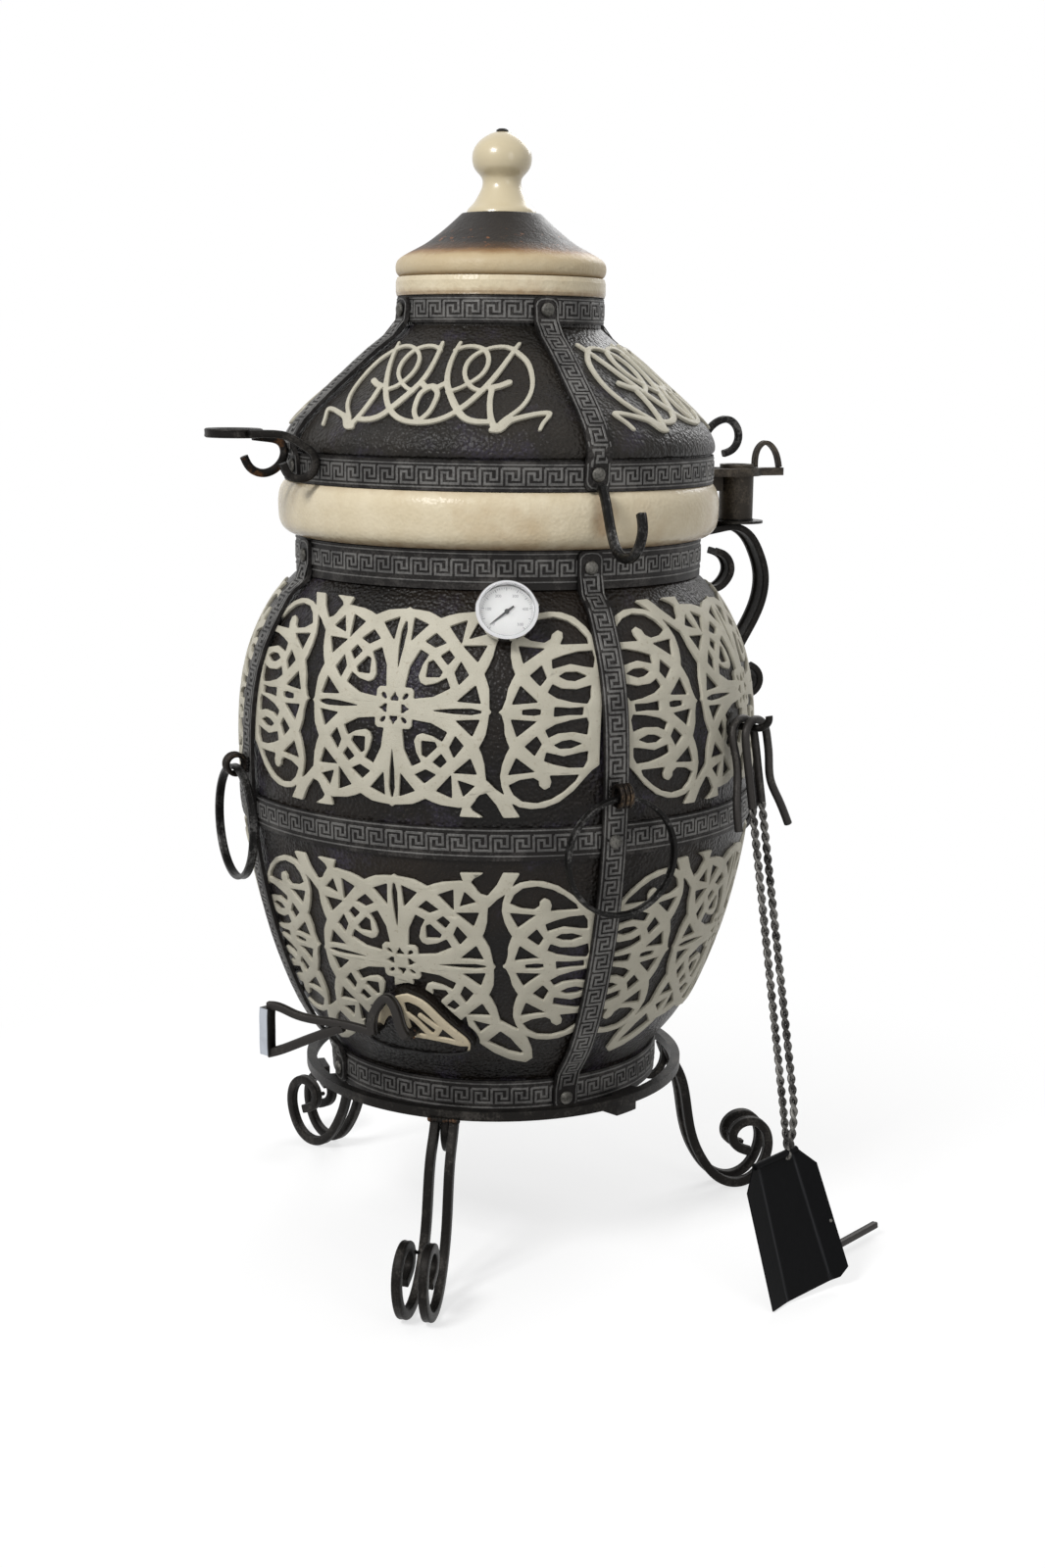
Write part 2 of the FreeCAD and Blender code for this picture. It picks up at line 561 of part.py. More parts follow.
# ---------------------------------------------------------------- cap and knob
cap_low = S("dome_top_z") + g
bore = S("stud_r") + S("stud_fit")
cap = turned("cap_turned", [
    ("line", [(bore, cap_low - S("spigot_h")), (S("spigot_r"), cap_low - S("spigot_h")),
              (S("spigot_r"), cap_low), (S("cap_seat_r"), cap_low), (113.5, cap_low + 4),
              (S("cap_r"), cap_low + 10), (113.6, 1089.5)]),
    ("curve", [(113.6, 1089.5), (98, 1096.5), (80, 1107), (63, 1120), (50, 1132), (41, S("cap_top_z"))]),
    ("line", [(41, S("cap_top_z")), (bore, S("cap_top_z")), (bore, cap_low - S("spigot_h"))]),
])
keep("cap", cap)
knob_low = S("cap_top_z") + g
knob = turned("knob_turned", [
    ("line", [(bore, knob_low), (35.5, knob_low)]),
    ("curve", [(35.5, knob_low), (31, knob_low + 10.7), (23.5, knob_low + 24.7),
               (S("knob_neck_r"), S("knob_ball_z") - 25), (S("knob_neck_r") + 4.5, S("knob_ball_z") - 15),
               (S("knob_ball_r"), S("knob_ball_z")), (S("knob_ball_r") - 3.5, S("knob_ball_z") + 13),
               (S("knob_ball_r") - 13.5, S("knob_top_z") - 1.5), (10, S("knob_top_z"))]),
    ("line", [(10, S("knob_top_z")), (bore, S("knob_top_z")), (bore, knob_low)]),
])
keep("knob", knob)
stud_low = cap_low - S("spigot_h") - 6
keep("cap_stud", turned("cap_stud", [
    ("line", [(0, stud_low), (9, stud_low), (9, cap_low - S("spigot_h") - g),
              (S("stud_r"), cap_low - S("spigot_h") - g),
              (S("stud_r"), S("knob_top_z") + g), (6.5, S("knob_top_z") + g), (6.5, S("knob_top_z") + 3.5),
              (4, S("knob_top_z") + 5), (0, S("knob_top_z") + 5), (0, stud_low)])]))

# ---------------------------------------------------------------- hinge
HINGE_AZ = S("strap_az") + 90
post_at = polar(S("post_rho"), HINGE_AZ)


def at_post(low):
    return Placement(Vector(post_at.x, post_at.y, low), Rotation())


pr = S("post_rho")
ARM = [(S("neck_r") + 8.8, 791.8), (S("neck_r") + 20, 791.5), (pr - 51, 793), (pr - 26, 797), (pr - 5, 798.6),
       (pr + 14, 789.5), (pr + 28, 769.5), (pr + 37, 742), (pr + 34.5, 713), (pr + 22, 685), (pr + 8, 662),
       (pr - 3, 640), (pr - 6.4, 620), (pr - 1, 605), (pr + 13, 599.5), (pr + 27, 603), (pr + 34, 615),
       (pr + 30, 628), (pr + 20, 635)]
curl_foot = strap_at(722.5) + S("air") + 0.15
SMALL = [(curl_foot, 727.5), (pr - 38, 727.3), (pr - 27, 727.5), (pr - 15, 735), (pr - 8.5, 750),
         (pr - 16, 765), (pr - 30, 771)]
arm = swept("hinge_arm_bar", ARM, radial_frame(HINGE_AZ), S("arm_w"), S("arm_t"))
keep("hinge_arm", arm)
keep("hinge_curl", swept("hinge_curl", SMALL, radial_frame(HINGE_AZ), 22, 8))
flange = rod("flange_disc", "$flange_r", "$flange_high - $flange_low", at_post(S("flange_low")))
post = rod("post_pin", "$post_r", "$post_top - $flange_low", at_post(S("flange_low")))
keep("hinge_post", fuse("hinge_post", [flange, post]))
wash_o = rod("washer_outer", "$sleeve_r + 1", "1.6", at_post(S("flange_high") + 0.3))
wash_i = rod("washer_inner", "$post_r + $post_fit", "4", at_post(S("flange_high") - 1))
keep("hinge_washer", cut("hinge_washer", wash_o, wash_i))
sl_o = rod("sleeve_outer", "$sleeve_r", "$sleeve_high - $sleeve_low", at_post(S("sleeve_low")))
sl_i = rod("sleeve_inner", "$post_r + $post_fit", "$sleeve_high - $sleeve_low + 2",
           at_post(S("sleeve_low") - 1))
sleeve = cut("sleeve_tube", sl_o, sl_i)
keep("hinge_sleeve", sleeve)

low = S("bracket_low")
clear = S("sleeve_r") + g
wrap = clear + S("bracket_t")
top_frame = Placement(polar(0, HINGE_AZ, low), Rotation(Vector(0, 0, 1), HINGE_AZ - 90))
start = dome_strap_at(low + 4) + 0.4
yoke = pushed("bracket_yoke", sketch("bracket_yoke_plan", [
    ("line", [(start, 13), (start, -13), (pr - 18, -wrap - 1)]),
    ("arc", [(pr - 18, -wrap - 1), (pr + 4, -wrap), (pr + 20, -17)]),
    ("line", [(pr + 20, -17), (pr + 30, -7), (pr + 61, -5), (pr + 61, 5), (pr + 30, 7), (pr + 20, 17)]),
    ("arc", [(pr + 20, 17), (pr + 4, wrap), (pr - 18, wrap + 1)]),
    ("line", [(pr - 18, wrap + 1), (start, 13)])], top_frame), S("bracket_h"))
yoke_hole = rod("yoke_hole", "$sleeve_r + $gap", "30", at_post(low - 5))
yoke_gap = pushed("yoke_gap", sketch("yoke_gap_plan", [
    ("line", [(start + 6, 7), (start + 6, -7), (pr - 21, -15), (pr - 21, 15), (start + 6, 7)])],
    Placement(top_frame.Base - Vector(0, 0, 5), top_frame.Rotation)), 30)
yoke_b = cut("yoke_b", cut("yoke_a", yoke, yoke_hole), yoke_gap)
keep("hinge_bracket", yoke_b)
DLOOP = [(pr + 24, low + 9.6), (pr + 24.5, low + 22), (pr + 29, low + 33), (pr + 37, low + 38),
         (pr + 46, low + 34), (pr + 53.5, low + 23), (pr + 57, low + 9.6)]
keep("bracket_loop", swept("bracket_loop", DLOOP, radial_frame(HINGE_AZ), 9, 5))
lug = doc.addObject("Part::Box", "bracket_lug")
lug.Length, lug.Width, lug.Height = 22, 8, 17
lug.Placement = Placement(polar(pr - S("sleeve_r") - 0.3 - 22, HINGE_AZ, low - 17.3, -4),
                          Rotation(Vector(0, 0, 1), HINGE_AZ - 90))
keep("bracket_lug", lug)

# ---------------------------------------------------------------- hooks and handle on the dome
front_foot = dome_strap_at(861) + S("air")
FRONT = [(front_foot + 0.4, 861.3), (front_foot + 5, 861), (253.5, 856.5), (259.5, 845), (266, 830),
         (275, 812), (287, 799), (303, 794.5), (320, 799), (333, 813), (337, 827), (333, 841)]
keep("front_hook", swept("front_hook", FRONT, radial_frame(S("strap_az")), 11, 11, True))
hook_foot = dome_strap_at(889) + S("air")
RIGHT = [(hook_foot + 0.3, 889.5), (hook_foot + 5, 889.8), (257, 897), (266, 911), (279, 920.5), (292, 922),
         (302.5, 914), (305.5, 900), (298.5, 888), (286, 883)]
keep("rear_hook", swept("rear_hook", RIGHT, radial_frame(HINGE_AZ), 10, 10, True))
LEFT_AZ = S("strap_az") - 90
loop_z = 909.0
loop_rho, loop_r = 311.0, 26.0
hook_r, hook_z = 4.5, 890
HOOK = [(284, 904.8), (268, 903), (253, 898), (dome_strap_at(hook_z) + S("air") + hook_r + 0.1, hook_z),
        (252, 879.5), (262, 869.5), (275, 866.5), (287, 872), (294, 884)]
keep("side_hook", swept("side_hook", HOOK, radial_frame(LEFT_AZ), 10, 9, True))
loop_frame = Placement(polar(0, LEFT_AZ, loop_z), Rotation(Vector(0, 0, 1), LEFT_AZ - 90))
loop_o = pushed("side_loop_outer", sketch("side_loop_outer_plan", [("circle", (loop_rho, 20, loop_r + 4.5))],
                                          loop_frame), 5, 5)
loop_i = pushed("side_loop_inner", sketch("side_loop_inner_plan", [("circle", (loop_rho, 20, loop_r - 4.5))],
                                          loop_frame), 8, 8)
keep("side_loop", cut("side_loop", loop_o, loop_i))
# The scroll stands beside the strap, so the band's face lies nearer there than its radius.
scroll_t, scroll_w, scroll_d = 55.3, 9, 8
band_face = S("dome_seat_r") + g + S("band_t")
scroll_in = math.sqrt(band_face ** 2 - (scroll_t - scroll_w / 2) ** 2) + g + scroll_d / 2
SCROLL = [(306, 909), (284, 909), (265, 906.5), (249, 897.5), (scroll_in + 1.6, 887), (scroll_in + 0.05, 878),
          (scroll_in + 3.5, 868.5), (250, 863.2), (263, 866.5), (270, 879)]
keep("side_scroll", swept("side_scroll", SCROLL, radial_frame(LEFT_AZ, scroll_t), scroll_w, scroll_d))

# ---------------------------------------------------------------- thermometer
gr = S("gauge_r")


def gauge_part(name, pieces):
    rev = turned(name, pieces)
    rev.Placement = gauge_frame
    return keep(name, rev)


sr = S("stem_r")
gauge_part("gauge_case", [("line", [(sr + 0.06, 6), (11, 6), (11, 9), (gr - 3, 9), (gr - 1.5, 10.5),
                                    (gr - 1.5, 18.4), (gr - 3, 18.4), (gr - 3, 11), (sr + 0.06, 11),
                                    (sr + 0.06, 6)])])
gauge_part("gauge_bezel", [("line", [(gr - 4, 18.8), (gr, 18.8), (gr, 21), (gr - 1.2, 22.4), (gr - 3.2, 22.4),
                                     (gr - 4.4, 20.5), (gr - 4, 18.8)])])
gauge_part("gauge_dial", [("line", [(1.3, 12), (gr - 3.4, 12), (gr - 3.4, 13), (1.3, 13), (1.3, 12)])])
gauge_part("gauge_glass", [("line", [(0, 17), (gr - 3.4, 17), (gr - 3.4, 18.4), (0, 18.4), (0, 17)])])
gauge_part("gauge_stem", [("line", [(0, -58), (sr, -58), (sr, 11.6), (0, 11.6), (0, -58)])])
hub = turned("needle_hub", [("line", [(0, 11.9), (1.25, 11.9), (1.25, 13.3), (2.4, 13.3), (2.4, 15.6),
                                      (0, 15.6), (0, 11.9)])])
blade = pushed("needle_blade", sketch("needle_plan", [
    ("line", [(-9, -0.9), (-9, 0.9), (0, 1.3), (22, 0.25), (22, -0.25), (0, -1.3), (-9, -0.9)])],
    Placement(Vector(0, 0, 13.9), Rotation(Vector(0, 0, 1), 0))), 0.7)
needle = fuse("gauge_needle", [hub, blade])
needle.Placement = gauge_frame.multiply(Placement(Vector(), Rotation(Vector(0, 0, 1), S("needle_rest"))))
keep("gauge_needle", needle)

# ---------------------------------------------------------------- vent plug and its handle
plug_skin = turned("plug_skin", [
    ("curve", offset_points(BELLY[1:11], g)), ("line", [offset_points(BELLY[1:11], g)[-1],
                                                         offset_points(BELLY[1:11], S("plug_face"))[-1]]),
    ("curve", offset_points(BELLY[1:11], S("plug_face"))[::-1]),
    ("line", [offset_points(BELLY[1:11], S("plug_face"))[0], offset_points(BELLY[1:11], g)[0]])])
core_skin = turned("core_skin", [
    ("curve", offset_points(BELLY[1:11], -24)), ("line", [offset_points(BELLY[1:11], -24)[-1],
                                                           offset_points(BELLY[1:11], 3)[-1]]),
    ("curve", offset_points(BELLY[1:11], 3)[::-1]),
    ("line", [offset_points(BELLY[1:11], 3)[0], offset_points(BELLY[1:11], -24)[0]])])
face_part = common("plug_face_part", plug_skin, vent_prism("plug_face_prism", 2))
core_part = common("plug_core_part", core_skin, vent_prism("plug_core_prism", -5 - S("vent_fit")))
keep("vent_plug", fuse("vent_plug", [face_part, core_part]))
h_out = 262.0


def plug_plane(depth):
    return Placement(Vector(0, -depth, 0), Rotation(Vector(1, 0, 0), 90))


ARCH = [(-39, 276), (-39, 290), (-35, 316), (-19, 333), (-2, 318), (1, 292), (1, 276)]
arch = swept("handle_arch", ARCH, plug_plane(h_out), 9, 7, True)
bar_a = swept("handle_bar_a", [(-39, 292), (-80, 297.5), (-158, 306)], plug_plane(h_out), 8, 7)
bar_b = swept("handle_bar_b", [(-70, 293), (-92, 283), (-158, 253)], plug_plane(h_out), 8, 7)
grip = swept("handle_grip", [(-160, 248), (-161.5, 278), (-160, 310)], plug_plane(h_out), 8, 18)
foot_1 = rod("handle_foot_1", "5", "34", Placement(Vector(-39, -h_out, 282), Rotation(Vector(0, 0, 1),
                                                                                         Vector(0, 1, 0))), 2)
foot_2 = rod("handle_foot_2", "5", "34", Placement(Vector(1, -h_out, 282), Rotation(Vector(0, 0, 1),
                                                                                       Vector(0, 1, 0))), 2)
handle = fuse("handle_raw", [arch, bar_a, bar_b, grip, foot_1, foot_2])
wedge = turned("plug_cover", [
    ("curve", offset_points(BELLY[1:11], S("plug_face") + g)),
    ("line", [offset_points(BELLY[1:11], S("plug_face") + g)[-1], (10, 482), (10, 236),
              offset_points(BELLY[1:11], S("plug_face") + g)[0]])])
keep("vent_handle", cut("vent_handle", handle, wedge))

# ---------------------------------------------------------------- tool hook, scoop and poker
hook_line = [(S("belly_r") - 16, S("tool_z")), (S("belly_r") - 4, S("tool_z")),
             (S("tool_rho") - 3, S("tool_z")), (S("tool_rho") + 12, S("tool_z")),
             (S("tool_rho") + 21, S("tool_z") + 0.2), (S("tool_rho") + 29, S("tool_z") + 4.5),
             (S("tool_rho") + 31.5, S("tool_z") + 14)]
tf = radial_frame(S("tool_az"))
tool_bar = swept("tool_bar", hook_line, tf, 7.8, 7.8, True)
tool_plate = rod("tool_plate", "14", "4", Placement(polar(S("belly_r") + 0.9, S("tool_az"), S("tool_z")),
                                                    Rotation(Vector(0, 0, 1), polar(1, S("tool_az")))))
keep("tool_hook", fuse("tool_hook", [tool_bar, tool_plate]))

# Each tool hangs over the hook by its crook and leans out until its foot meets the floor.
crook_r = 19.0
bar_d = S("crook_d")


def tool_frame_at(rho, foot, turn_deg):
    """Origin under the crook's top, local y up the tool, local x along the pan's lip."""
    top = polar(rho, S("tool_az"), S("tool_z") + 3.9 + 0.3 - bar_d / 2.0 + bar_d)
    up = (top - foot).normalize()
    a = math.radians(turn_deg)
    lip = Vector(math.cos(a), math.sin(a), 0)
    n = lip.cross(up).normalize()
    lip = up.cross(n).normalize()
    return Placement(Matrix(lip.x, up.x, n.x, foot.x, lip.y, up.y, n.y, foot.y, lip.z, up.z, n.z, foot.z,
                            0, 0, 0, 1)), (top - foot).Length


def crook(name, frame, length, tail, flip):
    """Shaft top, half-round crook over the hook and the long curved tail."""
    r = crook_r
    pts = [(r * flip, length - 96), (r * flip, length - 58), (r * flip, length - r - 4)]
    for k in range(1, 6):
        a = math.radians(30 * k)
        pts.append((r * flip * math.cos(a), length - r + r * math.sin(a)))
    pts += [(-r * flip, length - r - 6)] + [(-r * flip + flip * dx, length - dy) for dx, dy in tail]
    return swept(name, pts, frame, bar_d, bar_d, True)


scoop_foot = polar(S("scoop_foot_rho"), S("scoop_foot_az"))
lip_deg = S("lip_az")
scoop_at, scoop_len = tool_frame_at(S("tool_rho") + 0.5, scoop_foot, lip_deg)
pl, pw, pt = S("pan_l"), S("pan_w"), S("pan_t")
pan_plan = [("line", [(-pw / 2, 0), (pw / 2, 0), (pw / 2, pl - 16), (37, pl), (-37, pl), (-pw / 2, pl - 16),
                      (-pw / 2, 0)])]
depth = 24.0


pan_block = pushed("pan_block", sketch("pan_plan", pan_plan, scoop_at), 60, 60)
sec_frame = scoop_at.multiply(Placement(Vector(0, -1, 0), Rotation(Vector(1, 0, 0), 90)))
tray = pushed("pan_tray", sketch("pan_tray_section", [
    ("line", [(-pw / 2, depth), (-pw / 2 + 2.0, depth), (-41, pt), (41, pt), (pw / 2 - 2.0, depth),
              (pw / 2, depth), (42, 0), (-42, 0), (-pw / 2, depth)])], sec_frame), 0, pl + 2)
back_plan = [("line", [(-40, pl - 2.5), (40, pl - 2.5), (40, pl - 1), (-40, pl - 1), (-40, pl - 2.5)])]
back = pushed("pan_back", sketch("pan_back_plan", back_plan, scoop_at), depth * 0.8)
pan = common("pan_cut", fuse("pan_raw", [tray, back]), pan_block)
keep("scoop_pan", pan)
shaft_low = pl + 0.4


def shaft(name, frame, x, low, high):
    body = doc.addObject("Part::Cylinder", name)
    bind(body, "Radius", "$shaft_d / 2")
    body.Height = high - low
    body.Placement = frame.multiply(Placement(Vector(x, low, 0), Rotation(Vector(1, 0, 0), -90)))
    return body


tail_1 = [(2, 40), (0, 66), (-6, 92), (-7, 118)]
crook_1 = crook("scoop_crook", scoop_at, scoop_len, tail_1, 1)
shaft_1 = shaft("scoop_shaft_bar", scoop_at, crook_r, shaft_low, scoop_len - 93)
keep("scoop_shaft", fuse("scoop_shaft", [crook_1, shaft_1]))

poker_foot = polar(S("poker_foot_rho"), S("poker_foot_az"))
poker_at, poker_len = tool_frame_at(S("tool_rho") + 15, poker_foot + Vector(0, 0, 6), lip_deg)
tail_2 = [(0, 40), (2, 66), (-9, 92), (-22, 122)]
crook_2 = crook("poker_crook", poker_at, poker_len, tail_2, -1)
shaft_2 = shaft("poker_shaft_bar", poker_at, -crook_r, 1, poker_len - 93)
toe = swept("poker_toe", [(-crook_r, 0), (-crook_r + 40, 2), (-crook_r + 82, 5)], poker_at, 8, 8, True)
keep("poker", fuse("poker", [crook_2, shaft_2, toe]))

# ---------------------------------------------------------------- check and write
doc.recompute()
os.makedirs("parts", exist_ok=True)
bad = [o.Name for o in doc.Objects if "Invalid" in o.State or "Error" in o.State]
for name, obj in nodes.items():
    shape = obj.Shape
    if shape.isNull() or not shape.isValid() or not shape.Solids:
        bad.append(name)
        continue
    shape.exportStep("parts/%s.step" % name)
    print("%-16s solids %d volume %.0f" % (name, len(shape.Solids), shape.Volume))
print("bad:", bad)
assert not bad
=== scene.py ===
"""A fireclay tandoor on a forged scroll stand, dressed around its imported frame."""

import math

import bmesh
import bpy
import numpy as np
from mathutils import Matrix, Vector


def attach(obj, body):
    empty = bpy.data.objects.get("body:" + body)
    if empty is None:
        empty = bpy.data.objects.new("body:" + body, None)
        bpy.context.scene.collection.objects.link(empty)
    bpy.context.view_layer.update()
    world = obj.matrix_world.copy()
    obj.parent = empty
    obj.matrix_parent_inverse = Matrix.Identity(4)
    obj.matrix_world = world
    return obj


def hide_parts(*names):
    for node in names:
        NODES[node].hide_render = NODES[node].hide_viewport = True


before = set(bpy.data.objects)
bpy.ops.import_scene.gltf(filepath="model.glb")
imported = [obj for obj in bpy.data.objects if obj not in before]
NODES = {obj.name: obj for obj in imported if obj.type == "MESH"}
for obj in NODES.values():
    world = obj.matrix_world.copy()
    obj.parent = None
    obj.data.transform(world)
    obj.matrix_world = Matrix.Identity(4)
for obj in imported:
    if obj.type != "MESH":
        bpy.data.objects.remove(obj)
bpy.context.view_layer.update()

# ---------------------------------------------------------------- places about the pot's axis, in metres
MM = 0.001
STRAP_AZ = [45, 135, 225, 315]
POT = "stand_and_pot"


def polar(rho, az, z=0.0, t=0.0):
    """A point rho out from the pot's axis at azimuth az, moved t along the tangent."""
    a = math.radians(az)
    return Vector((rho * math.sin(a) + t * math.cos(a), -rho * math.cos(a) + t * math.sin(a), z))


def radial_frame(az, t=0.0):
    """Local x runs outward, local y up, and the plane stands t beside the axis."""
    a = math.radians(az)
    out, side = Vector((math.sin(a), -math.cos(a), 0)), Vector((-math.cos(a), -math.sin(a), 0))
    m = Matrix((out, (0, 0, 1), side)).transposed().to_4x4()
    m.translation = -side * t
    return m


# ---------------------------------------------------------------- shader maths
class Val:
    """A socket, or a number, that Python's operators join with Math nodes."""

    def __init__(self, tree, socket):
        self.tree, self.socket = tree, socket

    def math(self, op, *others, clamp=False):
        node = made(self.tree, "ShaderNodeMath", {"operation": op, "use_clamp": clamp},
                    dict(enumerate((self,) + others)))
        return Val(self.tree, node.outputs[0])

    def __add__(self, o): return self.math("ADD", o)
    def __sub__(self, o): return self.math("SUBTRACT", o)
    def __mul__(self, o): return self.math("MULTIPLY", o)
    def __rsub__(self, o): return (self * -1.0).math("ADD", o)
    __radd__ = __add__
    __rmul__ = __mul__

    def clip(self): return self.math("ADD", 0.0, clamp=True)
    def above(self, edge, soft): return ((self - edge) * (1.0 / soft) + 0.5).clip()
    def high(self, o): return self.math("MAXIMUM", o)


def plug(tree, socket, item):
    """Links a socket to another one, or gives it a value."""
    if isinstance(item, Val):
        item = item.socket
    if isinstance(item, bpy.types.NodeSocket):
        tree.links.new(item, socket)
    elif item is not None:
        if socket.type == "RGBA" and len(item) == 3:
            item = tuple(item) + (1.0,)
        socket.default_value = item


def made(tree, kind, settings=None, inputs=None):
    """Any node of any tree. Its settings are made first, and then its sockets are filled."""
    node = tree.nodes.new(kind)
    for key, value in (settings or {}).items():
        if key == "stops":
            ramp = node.color_ramp
            while len(ramp.elements) < len(value):
                ramp.elements.new(0.5)
            for element, (place, colour) in zip(ramp.elements, value):
                element.position = place
                element.color = tuple(colour) + (1.0,)
        else:
            setattr(node, key, value)
    for key, value in (inputs or {}).items():
        plug(tree, node.inputs[key], value)
    return node


def shader_node(tree, kind, settings, inputs, output=0):
    return Val(tree, made(tree, "ShaderNode" + kind, settings, inputs).outputs[output])


class Finish:
    """A material under construction: node() makes a node, and the rest are shorthands for it."""

    def __init__(self, name, **constants):
        self.mat = bpy.data.materials.new(name)
        self.mat.use_nodes = True
        self.tree = self.mat.node_tree
        self.tree.nodes.clear()
        self.bsdf = made(self.tree, "ShaderNodeBsdfPrincipled", {},
                         {key.replace("_", " "): value for key, value in constants.items()})
        self.out = made(self.tree, "ShaderNodeOutputMaterial", {}, {0: self.bsdf.outputs[0]})
        self.point = self.node("TexCoord", {}, {}, "Object")

    def node(self, kind, settings, inputs, output=0):
        return shader_node(self.tree, kind, settings, inputs, output)

    def noise(self, scale, detail=4.0, rough=0.55):
        inputs = {"Vector": self.point, "Scale": scale, "Detail": detail, "Roughness": rough}
        return self.node("TexNoise", {}, inputs, "Fac")

    def cells(self, scale, smooth):
        inputs = {"Vector": self.point, "Scale": scale, "Smoothness": smooth}
        return self.node("TexVoronoi", {"feature": "SMOOTH_F1"}, inputs, "Distance")

    def attribute(self, name):
        return self.node("Attribute", {"attribute_name": name}, {}, "Fac")

    def axis(self, which):
        return self.node("SeparateXYZ", {}, {0: self.point}, which)

    def facing(self):
        return self.node("TexCoord", {}, {}, "Normal")

    def facing_axis(self, which):
        return self.node("SeparateXYZ", {}, {0: self.facing()}, which)

    def vector(self, op, a, b=None, output=0):
        return self.node("VectorMath", {"operation": op}, {0: a, 1: b}, output)

    def length(self, a, stretch):
        """How long the vector a is, once its axes are stretched."""
        return self.vector("LENGTH", self.vector("MULTIPLY", a, stretch), output="Value")

    def radius(self):
        return self.length(self.point, (1, 1, 0))

    def mix(self, fac, a, b):
        return self.node("Mix", {"data_type": "RGBA"}, {0: fac, 6: a, 7: b}, 2)

    def ramp(self, fac, stops):
        return self.node("ValToRGB", {"stops": stops}, {"Fac": fac})

    def done(self, colour, rough, height=None, depth=0.001, metal=None):
        """The finished material, with height as a bump that is depth metres deep."""
        bump = None
        if height is not None:
            bump = self.node("Bump", {}, {"Strength": 1.0, "Distance": depth, "Height": height})
        looks = {"Base Color": colour, "Roughness": rough, "Metallic": metal, "Normal": bump}
        for key, value in looks.items():
            plug(self.tree, self.bsdf.inputs[key], value)
        return self.mat


CREAM = (0.60, 0.51, 0.35)
CREAM_LIGHT = (0.72, 0.64, 0.48)
CREAM_TAN = (0.42, 0.28, 0.14)
GLAZE = (0.0048, 0.0042, 0.0038)
GLAZE_WARM = (0.014, 0.0102, 0.0075)
IRON = (0.011, 0.0098, 0.0088)
IRON_WORN = (0.075, 0.068, 0.060)
CLAY = (0.42, 0.24, 0.13)
# The glaze's bump, and the slanting edge below which the plug's relief is dark.
GRAIN = 0.0016
DARK_EDGE, EDGE_SLOPE = 0.2810, 0.15


def dark_glaze(name, rim=None, top=0.0, streak=None, base=GLAZE, warm=GLAZE_WARM):
    """Pebbled dark glaze. From the height rim it is cream, darker brown at its foot, above top and along the
    streak.
    """
    m = Finish(name, Specular_IOR_Level=0.17)
    cloud = m.noise(9, 5)
    pebble = m.cells(260, 0.6)
    fine = m.noise(420, 3)
    colour = m.mix(cloud.above(0.52, 0.35), base, warm)
    speck = m.noise(900, 2).above(0.70, 0.10)
    colour = m.mix(speck * 0.5, colour, (0.10, 0.075, 0.05))
    # Bluish-violet patches are a painted sheen: reflections of light mixed into the glaze's colour.
    painted_sheen = m.noise(13, 5, 0.6).above(0.60, 0.12) * m.noise(300, 3).above(0.50, 0.3)
    colour = m.mix(painted_sheen * 0.8, colour, (0.042, 0.036, 0.056))
    rough = 0.18 + cloud * 0.22 + fine * 0.10
    height = (1 - pebble) * 0.9 + fine * 0.35 + m.noise(60, 3) * 0.9
    if rim is not None:
        mottle = m.noise(26, 6, 0.65)
        stain = m.noise(11, 4).above(0.60, 0.12) * 0.35
        cream = m.mix(mottle.above(0.55, 0.5), CREAM, CREAM_LIGHT)
        cream = m.mix(stain, cream, CREAM_TAN)
        z = m.axis("Z") + (m.noise(70, 5) - 0.5) * 0.010
        # The cream turns darker brown at the rim's foot, above top and along the streak.
        darkening = (rim + 0.0045 - z).above(0, 0.006).high((z - rim - top).above(0, 0.010) * 0.6)
        if streak:
            off = m.length(m.vector("SUBTRACT", m.point, tuple(streak)), (1, 1, 0.42))
            darkening = darkening.high((0.012 - off + (m.noise(55, 4) - 0.5) * 0.014).above(0, 0.010))
        cream = m.mix(darkening * (0.35 + m.noise(150, 3) * 0.5), cream, (0.26, 0.15, 0.07))
        up = m.axis("Z").above(rim, 0.002)
        colour = m.mix(up, colour, cream)
        rough = rough * (1 - up * 0.3)
        height = height * (1 - up * 0.75)
    return m, colour, rough, height


# The pot's inside is bare within each radius, from each height up.
BARE_INSIDE = ((0.180, 0.19), (0.192, 0.24))
# The cream rim: where it starts, how much of it keeps its plain colour, and the spot that a darker brown
# streak runs from.
RIM_LOW, RIM_PLAIN, RIM_STREAK = 0.7975, 0.058, polar(0.243, 46.5, 0.832)


def pot_finish():
    """The glazed pot: dark below its cream rim, and bare fired clay inside."""
    m, colour, rough, height = dark_glaze("pot_glaze", RIM_LOW, RIM_PLAIN, RIM_STREAK)
    rho, z = m.radius(), m.axis("Z")
    inward = m.vector("DOT_PRODUCT", m.facing(), m.point, "Value") - m.facing_axis("Z") * z
    inner = (inward * -1).above(0.002, 0.002)
    for wide, low in BARE_INSIDE:
        inner = inner.high((wide - rho).above(0, 0.001) * (z - low).above(0, 0.004))
    clay = m.mix(m.noise(40, 5), CLAY, (0.30, 0.15, 0.08))
    colour = m.mix(inner, colour, clay)
    return m.done(colour, rough.high(inner * 0.85), height, GRAIN)


